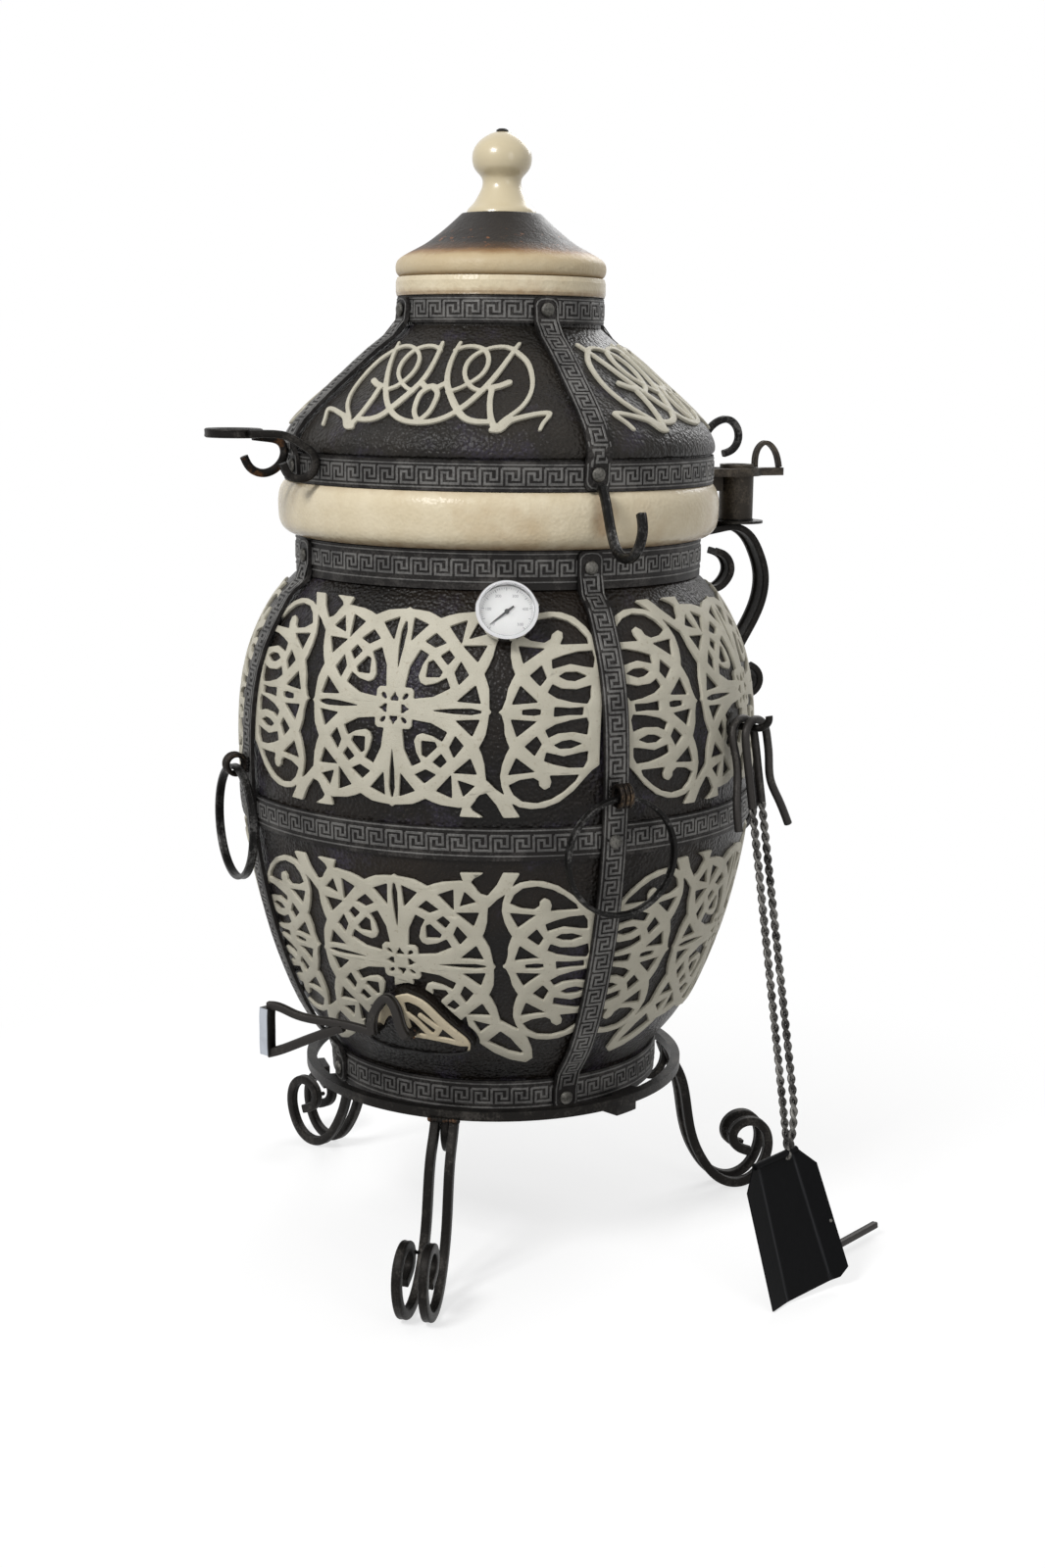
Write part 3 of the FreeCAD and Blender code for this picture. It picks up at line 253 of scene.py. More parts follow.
def cream_relief(name, low, high, dark_below=False):
    """Cream glaze over relief, from its low to its high colour, dark below the plug's slanting edge."""
    m = Finish(name, Specular_IOR_Level=0.3)
    grain = m.noise(650, 4, 0.7)
    mottle = m.noise(30, 5)
    colour = m.mix(mottle.above(0.5, 0.6), low, high)
    colour = m.mix(m.noise(240, 4, 0.7).above(0.64, 0.12) * 0.6, colour, (0.30, 0.25, 0.17))
    if dark_below:
        edge = DARK_EDGE - (m.axis("X") + 0.006).high(0.0) * EDGE_SLOPE + (m.noise(60, 4) - 0.5) * 0.008
        colour = m.mix((edge - m.axis("Z")).above(0, 0.003), colour, GLAZE)
    return m.done(colour, 0.42 + grain * 0.25, grain + mottle * 0.5, 0.0007)


def iron(name, base=IRON, worn=IRON_WORN, rub=0.60, metal=0.75, rough=0.42, rust=0.0):
    """Blackened iron, worn brighter where its noise passes rub, with spots of rust."""
    m = Finish(name, Specular_IOR_Level=0.3)
    cloud, scratch = m.noise(35, 6, 0.65), m.noise(380, 4, 0.7)
    rubbed = (cloud * 0.6 + scratch * 0.4).above(rub, 0.12)
    colour = m.mix(rubbed * 0.6, base, worn)
    if rust:
        spots = m.noise(55, 5, 0.7).above(0.60, 0.14) * rust
        colour = m.mix(spots, colour, (0.20, 0.09, 0.035))
    return m.done(colour, rough + scratch * 0.25, scratch + cloud, 0.0004, metal=metal)


def plain(name, colour, rough, metal=0.0, vary=0.1, grain=300, depth=0.0002, **constants):
    """One colour that varies a little, with a fine grain in it."""
    m = Finish(name, **constants)
    n = m.noise(grain, 4)
    dark = tuple(c * (1 - 2 * vary) for c in colour)
    return m.done(m.mix(n, dark, colour), rough + n * 0.12, n, depth, metal=metal)


def cap_finish():
    """Dark at the middle, through red-brown to cream at the cap's edge."""
    m = Finish("cap_glaze", Specular_IOR_Level=0.22)
    rho = m.radius() + (m.noise(22, 5) - 0.5) * 0.010 + (m.noise(90, 4) - 0.5) * 0.005
    colour = m.ramp((rho - 0.03) * (1 / 0.09), [
        (0.00, (0.022, 0.019, 0.017)), (0.59, (0.024, 0.020, 0.017)), (0.74, (0.080, 0.044, 0.022)),
        (0.81, (0.26, 0.15, 0.065)), (0.88, (0.48, 0.37, 0.22)), (1.00, (0.57, 0.49, 0.34))])
    ring = (rho - 0.068).above(0, 0.010) * (0.100 - rho).above(0, 0.010)
    ember = m.noise(150, 4).above(0.66, 0.08) * ring
    colour = m.mix(ember * 0.7, colour, (0.34, 0.13, 0.05))
    seam = (1.0765 - m.axis("Z")).above(0, 0.004) * 0.5
    colour = m.mix(seam, colour, (0.25, 0.16, 0.08))
    return m.done(colour, 0.34 + m.noise(60) * 0.2, m.noise(120, 4) + m.noise(420, 3) * 0.5, 0.0009)


def black_sheet():
    """Black sheet metal, with a painted highlight along each fold line."""
    m = Finish("black_sheet", Specular_IOR_Level=0.06)
    grain, cloud = m.noise(120, 4), m.noise(18, 4)
    colour = m.mix(grain, (0.0018, 0.0019, 0.0022), (0.0045, 0.0046, 0.0052))
    # A painted highlight along the fold lines, patchy with the cloud.
    colour = m.mix(m.attribute("fold") * (0.35 + cloud * 0.5), colour, (0.055, 0.056, 0.060))
    return m.done(colour, 0.36 + grain * 0.15, grain, 0.0002)


pot_glaze = pot_finish()
relief = cream_relief("cream_relief", (0.43, 0.405, 0.325), (0.56, 0.53, 0.435))
plug_relief = cream_relief("plug_relief", (0.52, 0.44, 0.30), (0.66, 0.58, 0.43), dark_below=True)
# The dome's glaze is the pot's glaze painted about twice as light: a painted sheen for the light its upward
# faces catch.
dome_glaze, plug_glaze = (m.done(*looks, GRAIN) for m, *looks in (
    dark_glaze("dome_glaze", 1.0535, 0.030, base=(0.010, 0.0090, 0.0080), warm=(0.024, 0.020, 0.016)),
    dark_glaze("plug_glaze")))
cap_glaze = cap_finish()
knob_glaze = plain("knob_glaze", (0.62, 0.53, 0.35), 0.26, vary=0.08, grain=28, depth=0.0003,
                   Coat_Weight=0.35, Coat_Roughness=0.12)
band_iron = iron("band_iron", (0.020, 0.0185, 0.0178), (0.085, 0.079, 0.074), rub=0.55, rough=0.42,
                 metal=0.85)
key_iron = iron("key_iron", (0.082, 0.080, 0.078), (0.20, 0.195, 0.185), rub=0.50, rough=0.40, metal=0.8)
forged = iron("forged_iron", rough=0.34, rub=0.57)
eye_iron = iron("eye_iron", (0.012, 0.009, 0.007), (0.17, 0.115, 0.07), rub=0.56, rough=0.30)
ring_iron = iron("ring_iron", (0.009, 0.0086, 0.0082), (0.16, 0.155, 0.15), rub=0.56, rough=0.26)
weld_iron = iron("weld_iron", rough=0.45, rust=0.6)
bracket_iron = iron("bracket_iron", (0.034, 0.029, 0.024), (0.12, 0.10, 0.078), rub=0.54, rough=0.40,
                    metal=0.8)
twist_iron = iron("twist_iron", (0.035, 0.033, 0.031), (0.30, 0.29, 0.27), rub=0.50, rough=0.36)


def grip_finish():
    """Handle grip: dark iron, rubbed lighter in patches, with a painted reflection of pale steel on its front
    face.
    """
    m = Finish("grip_steel")
    cloud, scratch = m.noise(35, 6, 0.65), m.noise(380, 4, 0.7)
    # Faces that look to the front get a painted reflection: pale bluish steel, patchy with the cloud.
    front = m.facing_axis("Y") * -1
    painted_reflection = front.above(0.65, 0.2) * (0.55 + cloud * 0.9).clip()
    rubbed = (cloud * 0.6 + scratch * 0.4).above(0.58, 0.12)
    colour = m.mix(rubbed * 0.5, (0.014, 0.013, 0.012), (0.09, 0.085, 0.08))
    colour = m.mix(painted_reflection, colour, (0.50, 0.53, 0.58))
    return m.done(colour, 0.28 + scratch * 0.2, scratch + cloud, 0.0003, metal=0.85)


grip_steel = grip_finish()
tool_iron = iron("tool_iron", (0.035, 0.032, 0.030), (0.15, 0.14, 0.12), rub=0.62, rough=0.34)
rivet_iron = iron("rivet_iron", (0.06, 0.058, 0.052), (0.22, 0.21, 0.19), rub=0.48, rough=0.42,
                  metal=0.85)
sheet_iron = black_sheet()
steel = plain("polished_steel", (0.72, 0.72, 0.73), 0.14, metal=1.0, vary=0.03, grain=500, depth=0.00005)
dial_white = plain("dial_white", (0.86, 0.86, 0.85), 0.45, vary=0.01)
dial_ink = plain("dial_ink", (0.30, 0.30, 0.31), 0.6, vary=0.05)
black_paint = plain("black_paint", (0.012, 0.012, 0.012), 0.4, vary=0.1)
grate_iron = iron("grate_iron", rough=0.6, rust=0.3)
glass = Finish("clear_glass", Transmission_Weight=1.0, IOR=1.45).done((1, 1, 1), 0.02)


FINISHES = {
    pot_glaze: ["pot"], dome_glaze: ["dome_cover"], plug_glaze: ["vent_plug"], cap_glaze: ["cap"],
    knob_glaze: ["knob"], band_iron: ["band_", "strap_", "dome_band", "neck_band", "dome_strap_"],
    rivet_iron: ["body_rivets", "dome_rivets"], steel: ["gauge_case", "gauge_bezel", "gauge_stem"],
    dial_white: ["gauge_dial"], black_paint: ["gauge_needle"], glass: ["gauge_glass"],
    sheet_iron: ["scoop_pan"],
    bracket_iron: ["hinge_bracket", "bracket_loop", "bracket_lug", "hinge_sleeve"],
    weld_iron: ["eye_", "side_hook"], grate_iron: ["fire_grate"],
}
for name, node in NODES.items():
    chosen = forged
    for finish, names in FINISHES.items():
        if any(name == n or (n.endswith("_") and name.startswith(n)) for n in names):
            chosen = finish
    for slot in node.material_slots:
        slot.material = chosen

# ---------------------------------------------------------------- turned skins to lay relief on
BELLY = [(183.7, 223), (193, 236), (208, 254), (220, 272), (231.5, 294), (242, 319), (252, 346), (262, 378),
         (270.5, 412), (277.5, 446), (282.8, 482), (285.8, 520), (287, 560), (286.6, 598), (283, 636),
         (276.5, 666), (266, 694), (253.5, 718), (237, 741), (221, 757)]
DOME = [(233, 888.5), (236.5, 890.5), (237.5, 896), (236, 903), (228, 916.5), (216, 929.5), (199, 945.5),
        (180, 962), (158, 981.5), (138, 997.5), (123, 1009), (109.3, 1021)]
# Gap and thicknesses of the ironwork, and how far out of the clay a band's and a strap's face stand.
GAP, BAND_T, STRAP_T = 0.3, 3.0, 3.6
BAND_OUT = GAP + BAND_T
STRAP_OUT = BAND_OUT + GAP + STRAP_T


def smooth(points, count=240):
    """A natural cubic curve through the points, by chord length, as count samples."""
    pts = np.asarray(points, float)
    t = np.r_[0, np.cumsum(np.sqrt((np.diff(pts, axis=0) ** 2).sum(1)))]
    n, h = len(t), np.diff(t)
    rows = np.zeros((n, n))
    want = np.zeros((n, pts.shape[1]))
    rows[0, 0] = rows[-1, -1] = 1
    for i in range(1, n - 1):
        rows[i, i - 1:i + 2] = h[i - 1], 2 * (h[i - 1] + h[i]), h[i]
        want[i] = 6 * ((pts[i + 1] - pts[i]) / h[i] - (pts[i] - pts[i - 1]) / h[i - 1])
    bend = np.linalg.solve(rows, want)
    u = np.linspace(0, t[-1], count)
    i = np.clip(np.searchsorted(t, u, "right") - 1, 0, n - 2)
    a, b, w = (t[i + 1] - u)[:, None], (u - t[i])[:, None], h[i][:, None]
    return ((bend[i] * a ** 3 + bend[i + 1] * b ** 3) / (6 * w)
            + (pts[i] / w - bend[i] * w / 6) * a + (pts[i + 1] / w - bend[i + 1] * w / 6) * b)


def spread(values, count):
    """The values drawn out evenly to count of them."""
    return np.interp(np.linspace(0, 1, count), np.linspace(0, 1, len(values)), values)


def along(points):
    """Length run from the first point to each point."""
    return np.r_[0, np.cumsum(np.sqrt((np.diff(points, axis=0) ** 2).sum(1)))]


def pushed_out(points, d):
    """The profile moved square to itself by d, away from the axis."""
    way = np.gradient(points, axis=0)
    way /= np.sqrt((way ** 2).sum(1))[:, None]
    return points + d * np.stack([way[:, 1], -way[:, 0]], 1)


POT_STRAP = [(184.1, 168), (184.2, 194), (184.7, 213), (187.3, 225)]
POT_STRAP += [(r + 0.8, z) for r, z in BELLY[1:-1]] + [(225, 752), (221.7, 768), (221.5, 783), (221.5, 800)]
DOME_STRAP = [(233, 850), (233.1, 868), (233.9, 882), (237.5, 895)] + DOME[3:-1]
DOME_STRAP += [(112.9, 1022), (110.1, 1035), (109.8, 1045), (109.8, 1056)]


def link(name, data):
    """A new object in the scene, at the origin."""
    obj = bpy.data.objects.new(name, data)
    bpy.context.scene.collection.objects.link(obj)
    return obj


def dropped(*objs):
    """Takes helper objects out of the scene again."""
    for obj in objs:
        bpy.data.objects.remove(obj, do_unlink=True)


def baked(obj):
    """A plain mesh of the object, as its modifiers, curve or text make it."""
    bpy.context.view_layer.update()
    return bpy.data.meshes.new_from_object(obj.evaluated_get(bpy.context.evaluated_depsgraph_get()))


def cleaned(mesh, near=None):
    """Turns the mesh's faces outward, once points that are nearer than near are merged."""
    bm = bmesh.new()
    bm.from_mesh(mesh)
    if near is not None:
        bmesh.ops.remove_doubles(bm, verts=bm.verts, dist=near)
    bmesh.ops.recalc_face_normals(bm, faces=bm.faces)
    bm.to_mesh(mesh)
    bm.free()


def shaded(mesh, crease):
    """Smooth shading, but for edges sharper than crease in degrees."""
    mesh.shade_smooth()
    mesh.set_sharp_from_angle(angle=math.radians(crease))


def turned_skin(name, profile, half_turn, centre=0.0):
    """A skin turned about the axis. Its flat attribute holds (run around + 1, run up the profile)."""
    profile = np.asarray(profile) * MM
    run = along(profile)
    steps = max(8, int(half_turn * 2 / 1.5))
    verts, flat, faces = [], [], []
    for j, (rho, z) in enumerate(profile):
        for i in range(steps + 1):
            a = -half_turn + 2 * half_turn * i / steps
            verts.append(polar(rho, centre + a, z))
            flat.append((math.radians(a) * rho + 1.0, run[j], 0.0))
    for j in range(len(profile) - 1):
        for i in range(steps):
            k = j * (steps + 1) + i
            faces.append((k, k + 1, k + steps + 2, k + steps + 1))
    mesh = bpy.data.meshes.new(name)
    mesh.from_pydata(verts, [], faces)
    mesh.attributes.new("flat", "FLOAT_VECTOR", "POINT").data.foreach_set("vector", np.ravel(flat))
    mesh.shade_smooth()
    return link(name, mesh)


def lathe(name, profile, finish, steps=144):
    """A closed solid turned about the axis, from a profile that starts and ends on it."""
    bm = bmesh.new()
    rows = [[bm.verts.new(polar(rho * MM, 360 * k / steps, z * MM)) for k in range(steps if rho > 0 else 1)]
            for rho, z in profile]
    for low, high in zip(rows, rows[1:]):
        for k in range(steps):
            after = (k + 1) % steps
            ring = [row[i % len(row)] for row, i in ((low, k), (low, after), (high, after), (high, k))]
            bm.faces.new(list(dict.fromkeys(ring)))
    bmesh.ops.recalc_face_normals(bm, faces=bm.faces)
    mesh = bpy.data.meshes.new(name)
    bm.to_mesh(mesh)
    bm.free()
    mesh.materials.append(finish)
    shaded(mesh, 40)
    return link(name, mesh)


# ---------------------------------------------------------------- geometry node trees
class Nodes:
    """A geometry node tree under construction, with named inputs."""

    def __init__(self, name, inputs):
        self.tree = bpy.data.node_groups.new(name, "GeometryNodeTree")
        face = self.tree.interface
        face.new_socket("Geometry", in_out="INPUT", socket_type="NodeSocketGeometry")
        for key, kind in inputs.items():
            face.new_socket(key, in_out="INPUT", socket_type="NodeSocket" + kind)
        face.new_socket("Geometry", in_out="OUTPUT", socket_type="NodeSocketGeometry")
        self.given = made(self.tree, "NodeGroupInput")

    def of(self, key):
        return self.given.outputs[key]

    def add(self, kind, settings=None, inputs=None, output=0):
        return made(self.tree, kind, settings, inputs).outputs[output]

    def vector(self, op, a, b=None, **more):
        return self.add("ShaderNodeVectorMath", {"operation": op}, {0: a, 1: b, **more})

    def read(self, name, kind):
        return self.add("GeometryNodeInputNamedAttribute", {"data_type": kind}, {"Name": name})

    def on_skin(self, geometry, skin):
        """Lays flat geometry on a skin: x runs around it, y up it and z out of it."""
        skin = self.add("GeometryNodeObjectInfo", {"transform_space": "ORIGINAL"}, {"Object": skin},
                        "Geometry")
        flat = self.read("flat", "FLOAT_VECTOR")
        place, normal = self.add("GeometryNodeInputPosition"), self.add("GeometryNodeInputNormal")
        x, y, z = (self.add("ShaderNodeSeparateXYZ", {}, {0: place}, k) for k in range(3))
        spot = self.vector("ADD", self.add("ShaderNodeCombineXYZ", {}, {"X": x, "Y": y}), (1.0, 0.0, 0.0))
        ground, out = (self.add("GeometryNodeSampleUVSurface", {"data_type": "FLOAT_VECTOR"},
                                {"Mesh": skin, "Value": field, "Source UV Map": flat, "Sample UV": spot})
                       for field in (place, normal))
        lift = self.vector("SCALE", self.vector("NORMALIZE", out), Scale=z)
        return self.add("GeometryNodeSetPosition", {}, {"Geometry": geometry,
                                                        "Position": self.vector("ADD", ground, lift)})

    def about_axis(self, geometry, turns, step, first=0.0):
        """Copies of the geometry, the first turned about z by first and each next one by step more."""
        points = self.add("GeometryNodeMeshLine", {}, {"Count": turns, "Offset": (0, 0, 0)})
        turn = self.add("ShaderNodeMath", {"operation": "MULTIPLY"},
                        {0: self.add("GeometryNodeInputIndex"), 1: step})
        turn = self.add("ShaderNodeMath", {"operation": "ADD"}, {0: turn, 1: first})
        spin = self.add("ShaderNodeCombineXYZ", {}, {"Z": turn})
        return self.add("GeometryNodeInstanceOnPoints", {},
                        {"Points": points, "Instance": geometry, "Rotation": spin})

    def finish(self, geometry):
        """The whole tree, which ends in plain geometry with its finish set."""
        done = self.add("GeometryNodeRealizeInstances", {}, {"Geometry": geometry})
        done = self.add("GeometryNodeSetMaterial", {}, {"Geometry": done, "Material": self.of("Finish")})
        made(self.tree, "NodeGroupOutput", {}, {0: done})
        return self.tree


QUARTER_TURN = math.pi / 2


def relief_tree():
    """Flat relief laid on a skin, then turned about the axis as often as asked."""
    g = Nodes("relief_on_skin", {"Skin": "Object", "Turns": "Int", "First turn": "Float",
                                 "Finish": "Material"})
    cover = g.on_skin(g.of("Geometry"), g.of("Skin"))
    return g.finish(g.about_axis(cover, g.of("Turns"), QUARTER_TURN, g.of("First turn")))


def course_tree():
    """A row of equal units, stretched to their pitch and laid on a skin, then turned about the axis."""
    g = Nodes("course_on_skin", {"Skin": "Object", "Count": "Int", "First": "Vector", "Step": "Vector",
                                 "Stretch": "Vector", "Turns": "Int", "Finish": "Material"})
    row = g.add("GeometryNodeMeshLine", {}, {"Count": g.of("Count"), "Start Location": g.of("First"),
                                             "Offset": g.of("Step")})
    units = g.add("GeometryNodeInstanceOnPoints", {}, {"Points": row, "Instance": g.of("Geometry"),
                                                       "Scale": g.of("Stretch")})
    cover = g.on_skin(g.add("GeometryNodeRealizeInstances", {}, {"Geometry": units}), g.of("Skin"))
    return g.finish(g.about_axis(cover, g.of("Turns"), QUARTER_TURN))


ON_SKIN, IN_COURSES = relief_tree(), course_tree()


def grown(name, flat, tree, inputs):
    """The plain mesh that a tree grows from an object, in the finish that the inputs name."""
    mod = flat.modifiers.new("grow", "NODES")
    mod.node_group = tree
    ids = {i.name: i.identifier for i in tree.interface.items_tree if i.item_type == "SOCKET"}
    for key, value in inputs.items():
        mod[ids[key]] = value
    mesh = baked(flat)
    mesh.name = name
    mesh.materials.clear()
    mesh.materials.append(inputs["Finish"])
    mesh.polygons.foreach_set("material_index", [0] * len(mesh.polygons))
    flat.modifiers.remove(mod)
    return link(name, mesh)


def joined(name, objs):
    """One plain mesh object from several in the same finish."""
    bm = bmesh.new()
    finish = objs[0].data.materials[0]
    for obj in objs:
        bm.from_mesh(obj.data)
    mesh = bpy.data.meshes.new(name)
    bm.to_mesh(mesh)
    bm.free()
    mesh.materials.append(finish)
    dropped(*objs)
    return link(name, mesh)


def settled(piece, body, slot, *nodes):
    """Says which body the piece rides on, and hides the nodes it stands for. Its slot is not used."""
    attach(piece, body)
    for node in nodes:
        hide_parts(node)
    return piece


# ---------------------------------------------------------------- pierced knotwork
def shape_distance(px, py, corners):
    """Distance to a closed outline, below zero inside it."""
    pts = np.asarray(corners, float)
    near = np.full(px.shape, 1e9)
    inside = np.zeros(px.shape, bool)
    for a, b in zip(pts, np.roll(pts, -1, 0)):
        e, wx, wy = b - a, px - a[0], py - a[1]
        t = np.clip((wx * e[0] + wy * e[1]) / max(e @ e, 1e-9), 0, 1)
        near = np.minimum(near, (wx - e[0] * t) ** 2 + (wy - e[1] * t) ** 2)
        if abs(e[1]) > 1e-9:
            inside ^= ((a[1] > py) != (b[1] > py)) & (px < e[0] * (py - a[1]) / e[1] + a[0])
    return np.where(inside, -1, 1) * np.sqrt(near)


def strip_distance(px, py, line, half):
    """Distance to a strip of the given half widths along a line, below zero inside it."""
    pts = np.asarray(line, float)
    half = spread(half, len(pts))
    near = np.full(px.shape, 1e9)
    for k in range(len(pts) - 1):
        a, e = pts[k], pts[k + 1] - pts[k]
        wx, wy = px - a[0], py - a[1]
        t = np.clip((wx * e[0] + wy * e[1]) / (e @ e), 0, 1)
        reach = half[k] + (half[k + 1] - half[k]) * t
        near = np.minimum(near, np.hypot(wx - e[0] * t, wy - e[1] * t) - reach)
    return near


class Plate:
    """A flat plate in millimetres, drawn as a distance field: add() and strip() join, pierce() takes away."""

    def __init__(self, low, high, step=0.8):
        self.x = np.arange(low[0], high[0] + step, step)
        self.y = np.arange(low[1], high[1] + step, step)
        self.px, self.py = np.meshgrid(self.x, self.y)
        self.field = np.full(self.px.shape, 20.0)

    def window(self, pts, margin):
        pts = np.asarray(pts, float)
        lo, hi = pts.min(0) - margin, pts.max(0) + margin
        i0, i1 = np.searchsorted(self.x, [lo[0], hi[0]])
        j0, j1 = np.searchsorted(self.y, [lo[1], hi[1]])
        return slice(j0, j1), slice(i0, i1)

    def add(self, outline):
        w = self.window(outline, 6)
        self.field[w] = np.minimum(self.field[w], shape_distance(self.px[w], self.py[w], outline))

    def strip(self, line, half):
        w = self.window(line, max(half) + 4)
        self.field[w] = np.minimum(self.field[w], strip_distance(self.px[w], self.py[w], line, half))

    def pierce(self, outline):
        w = self.window(outline, 6)
        self.field[w] = np.maximum(self.field[w], -shape_distance(self.px[w], self.py[w], outline))

    def loops(self, soften=2, keep_to=0.07):
        """The plate's closed edges, followed cell by cell where the softened field crosses zero."""
        f = self.field.copy()
        for _ in range(soften):
            around = f[:-2, 1:-1] + f[2:, 1:-1] + f[1:-1, :-2] + f[1:-1, 2:]
            f[1:-1, 1:-1] = (f[1:-1, 1:-1] * 4 + around) / 8
        f[0], f[-1], f[:, 0], f[:, -1] = 5, 5, 5, 5
        ins = f < 0
        code = (ins[:-1, :-1] * 1 + ins[:-1, 1:] * 2 + ins[1:, 1:] * 4 + ins[1:, :-1] * 8)
        cuts = {1: "LB", 2: "BR", 3: "LR", 4: "RT", 5: "LTBR", 6: "BT", 7: "LT", 8: "TL", 9: "TB",
                10: "LBTR", 11: "TR", 12: "RL", 13: "RB", 14: "BL"}
        near = {}
        for j, i in zip(*np.nonzero((code > 0) & (code < 15))):
            keys = {"B": (0, j, i), "T": (0, j + 1, i), "L": (1, j, i), "R": (1, j, i + 1)}
            way = cuts[int(code[j, i])]
            for a, b in (way[k:k + 2] for k in range(0, len(way), 2)):
                near.setdefault(keys[a], []).append(keys[b])
                near.setdefault(keys[b], []).append(keys[a])

        def spot(key):
            kind, j, i = key
            j2, i2 = (j, i + 1) if kind == 0 else (j + 1, i)
            t = f[j, i] / (f[j, i] - f[j2, i2])
            return (self.x[i] + t * (self.x[i2] - self.x[i]), self.y[j] + t * (self.y[j2] - self.y[j]))

        loops = []
        while near:
            start = next(iter(near))
            path, at, before = [start], near[start][0], start
            while at != start:
                path.append(at)
                a, b = near[at]
                at, before = (b if a == before else a), at
            for key in path:
                near.pop(key)
            if len(path) > 9:
                pts = np.array([spot(k) for k in path])
                loops.append(thinned(np.vstack([pts, pts[:1]]), keep_to)[:-1])
        return loops


def thinned(pts, tol):
    """The fewest of the points that keep the line within tol."""
    keep = np.zeros(len(pts), bool)
    keep[0] = keep[-1] = True
    mid = len(pts) // 2
    keep[mid] = True
    stack = [(0, mid), (mid, len(pts) - 1)]
    while stack:
        a, b = stack.pop()
        if b <= a + 1:
            continue
        e = pts[b] - pts[a]
        off = np.abs(np.cross(e, pts[a + 1:b] - pts[a])) / max(np.hypot(*e), 1e-9)
        k = int(off.argmax())
        if off[k] > tol:
            keep[a + 1 + k] = True
            stack += [(a, a + 1 + k), (a + 1 + k, b)]
    return pts[keep]


# How deep raised work is let into its ground, in millimetres.
SINK = 0.8


def plate_mesh(name, loops, high, edge=0.7, sink=SINK, longest=9.0):
    """A flat plate with rounded edges from closed loops in millimetres, as a mesh in metres."""
    curve = bpy.data.curves.new(name, "CURVE")
    curve.dimensions = "2D"
    curve.fill_mode = "BOTH"
    curve.extrude = (high + sink) / 2 - edge
    curve.bevel_depth = edge
    curve.bevel_resolution = 1
    curve.offset = -edge
    for loop in loops:
        spline = curve.splines.new("POLY")
        spline.points.add(len(loop) - 1)
        flat, weight = np.zeros(len(loop)), np.ones(len(loop))
        spline.points.foreach_set("co", np.column_stack([loop, flat, weight]).ravel())
        spline.use_cyclic_u = True
    obj = link(name, curve)
    mesh = baked(obj)
    dropped(obj)
    bm = bmesh.new()
    bm.from_mesh(mesh)
    bmesh.ops.remove_doubles(bm, verts=bm.verts, dist=0.01)
    bmesh.ops.triangulate(bm, faces=bm.faces)
    for _ in range(4):
        long_ones = [e for e in bm.edges if e.calc_length() > longest]
        if not long_ones:
            break
        bmesh.ops.subdivide_edges(bm, edges=long_ones, cuts=1)
        bmesh.ops.triangulate(bm, faces=[f for f in bm.faces if len(f.verts) > 3])
    for v in bm.verts:
        v.co = (v.co.x * MM, v.co.y * MM, (v.co.z + (high - sink) / 2) * MM)
    bmesh.ops.recalc_face_normals(bm, faces=bm.faces)
    for f in bm.faces:
        f.smooth = True
    bm.to_mesh(mesh)
    bm.free()
    return link(name, mesh)


# The medallion's pierced holes for one quarter, in millimetres from its middle, x out and y out.
QUARTER = [
    [(64, 9), (89, 7.5), (82, 25)], [(9, 64), (7.5, 89), (25, 82)],
    [(59, 36), (65, 24), (74, 34), (64, 47)], [(36, 59), (24, 65), (34, 74), (47, 64)],
    [(63, 62), (88, 63), (81, 46)], [(62, 63), (63, 88), (46, 81)],
    [(20, 10), (40, 12.5), (57, 21), (52, 31), (42, 25.5), (31, 23), (25.5, 25.5), (23, 31), (25.5, 42),
     (31, 52), (21, 57), (12.5, 40), (10, 20), (17, 20), (18.5, 18.5), (20, 17)],
    [(30.5, 30.5), (45, 31), (47.5, 36), (36, 47.5), (31, 45)],
    [(42.5, 51.5), (51.5, 42.5), (57.5, 50.5), (50.5, 57.5)],
    [(68, 68.5), (86, 74), (74, 86)],
    [(8, 9.5), (9.5, 8), (13.5, 10), (15, 13), (13, 15), (10, 13.5)],
]
ARM_SLOT = [(36, 0), (62, -2.6), (80, -3.2), (90, -1.2), (90, 1.2), (80, 3.2), (62, 2.6)]
PETAL = [(7.4, -4.5), (11, -4.2), (13, -1.8), (17.5, 0), (13, 1.8), (11, 4.2), (7.4, 4.5), (8, 0)]
# The medallion's outline, its tails, and the half medallion beside it, each for one quarter.
LOBES = [(100, 0), (97.5, 3), (96.8, 12), (95.5, 22), (92, 30), (89, 35.5), (92, 42), (95, 52), (96, 62),
         (97, 70), (94, 79), (87, 87), (79, 94), (70, 97), (62, 96), (52, 95), (42, 92), (35.5, 89), (30, 92),
         (22, 95.5), (12, 96.8), (3, 97.5), (0, 100)]
DOVETAIL = [(68, 90), (73, 97), (70, 106), (95, 106.5), (84, 100), (81, 96), (87, 88), (82, 82)]
TAIL = [(88, 64), (98, 69), (107, 78), (113, 82), (122, 91), (125, 97), (131, 106), (114, 106.5), (107, 93),
        (97, 81), (88, 84)]
LOOP_END = [(88, 64), (98, 70), (108, 78), (117, 84), (122, 94), (124, 110), (122, 126), (113, 133),
            (98, 127), (83, 115), (70, 100), (68, 90)]
LOOP_HOLE = [(79, 98), (95, 83), (104, 93), (114, 115), (112, 119), (99, 114)]
SIDE = [(106, -0.5), (110, 3), (113, 12), (114, 22), (117, 30), (119.5, 35.5), (116, 42), (112.5, 52),
        (110.5, 64), (112, 74), (115, 83), (122, 91), (130, 95.5), (142, 97.5), (155, 96.5), (170, 91),
        (185, 80), (196, 68), (204, 60), (212, 55), (212, -0.5)]
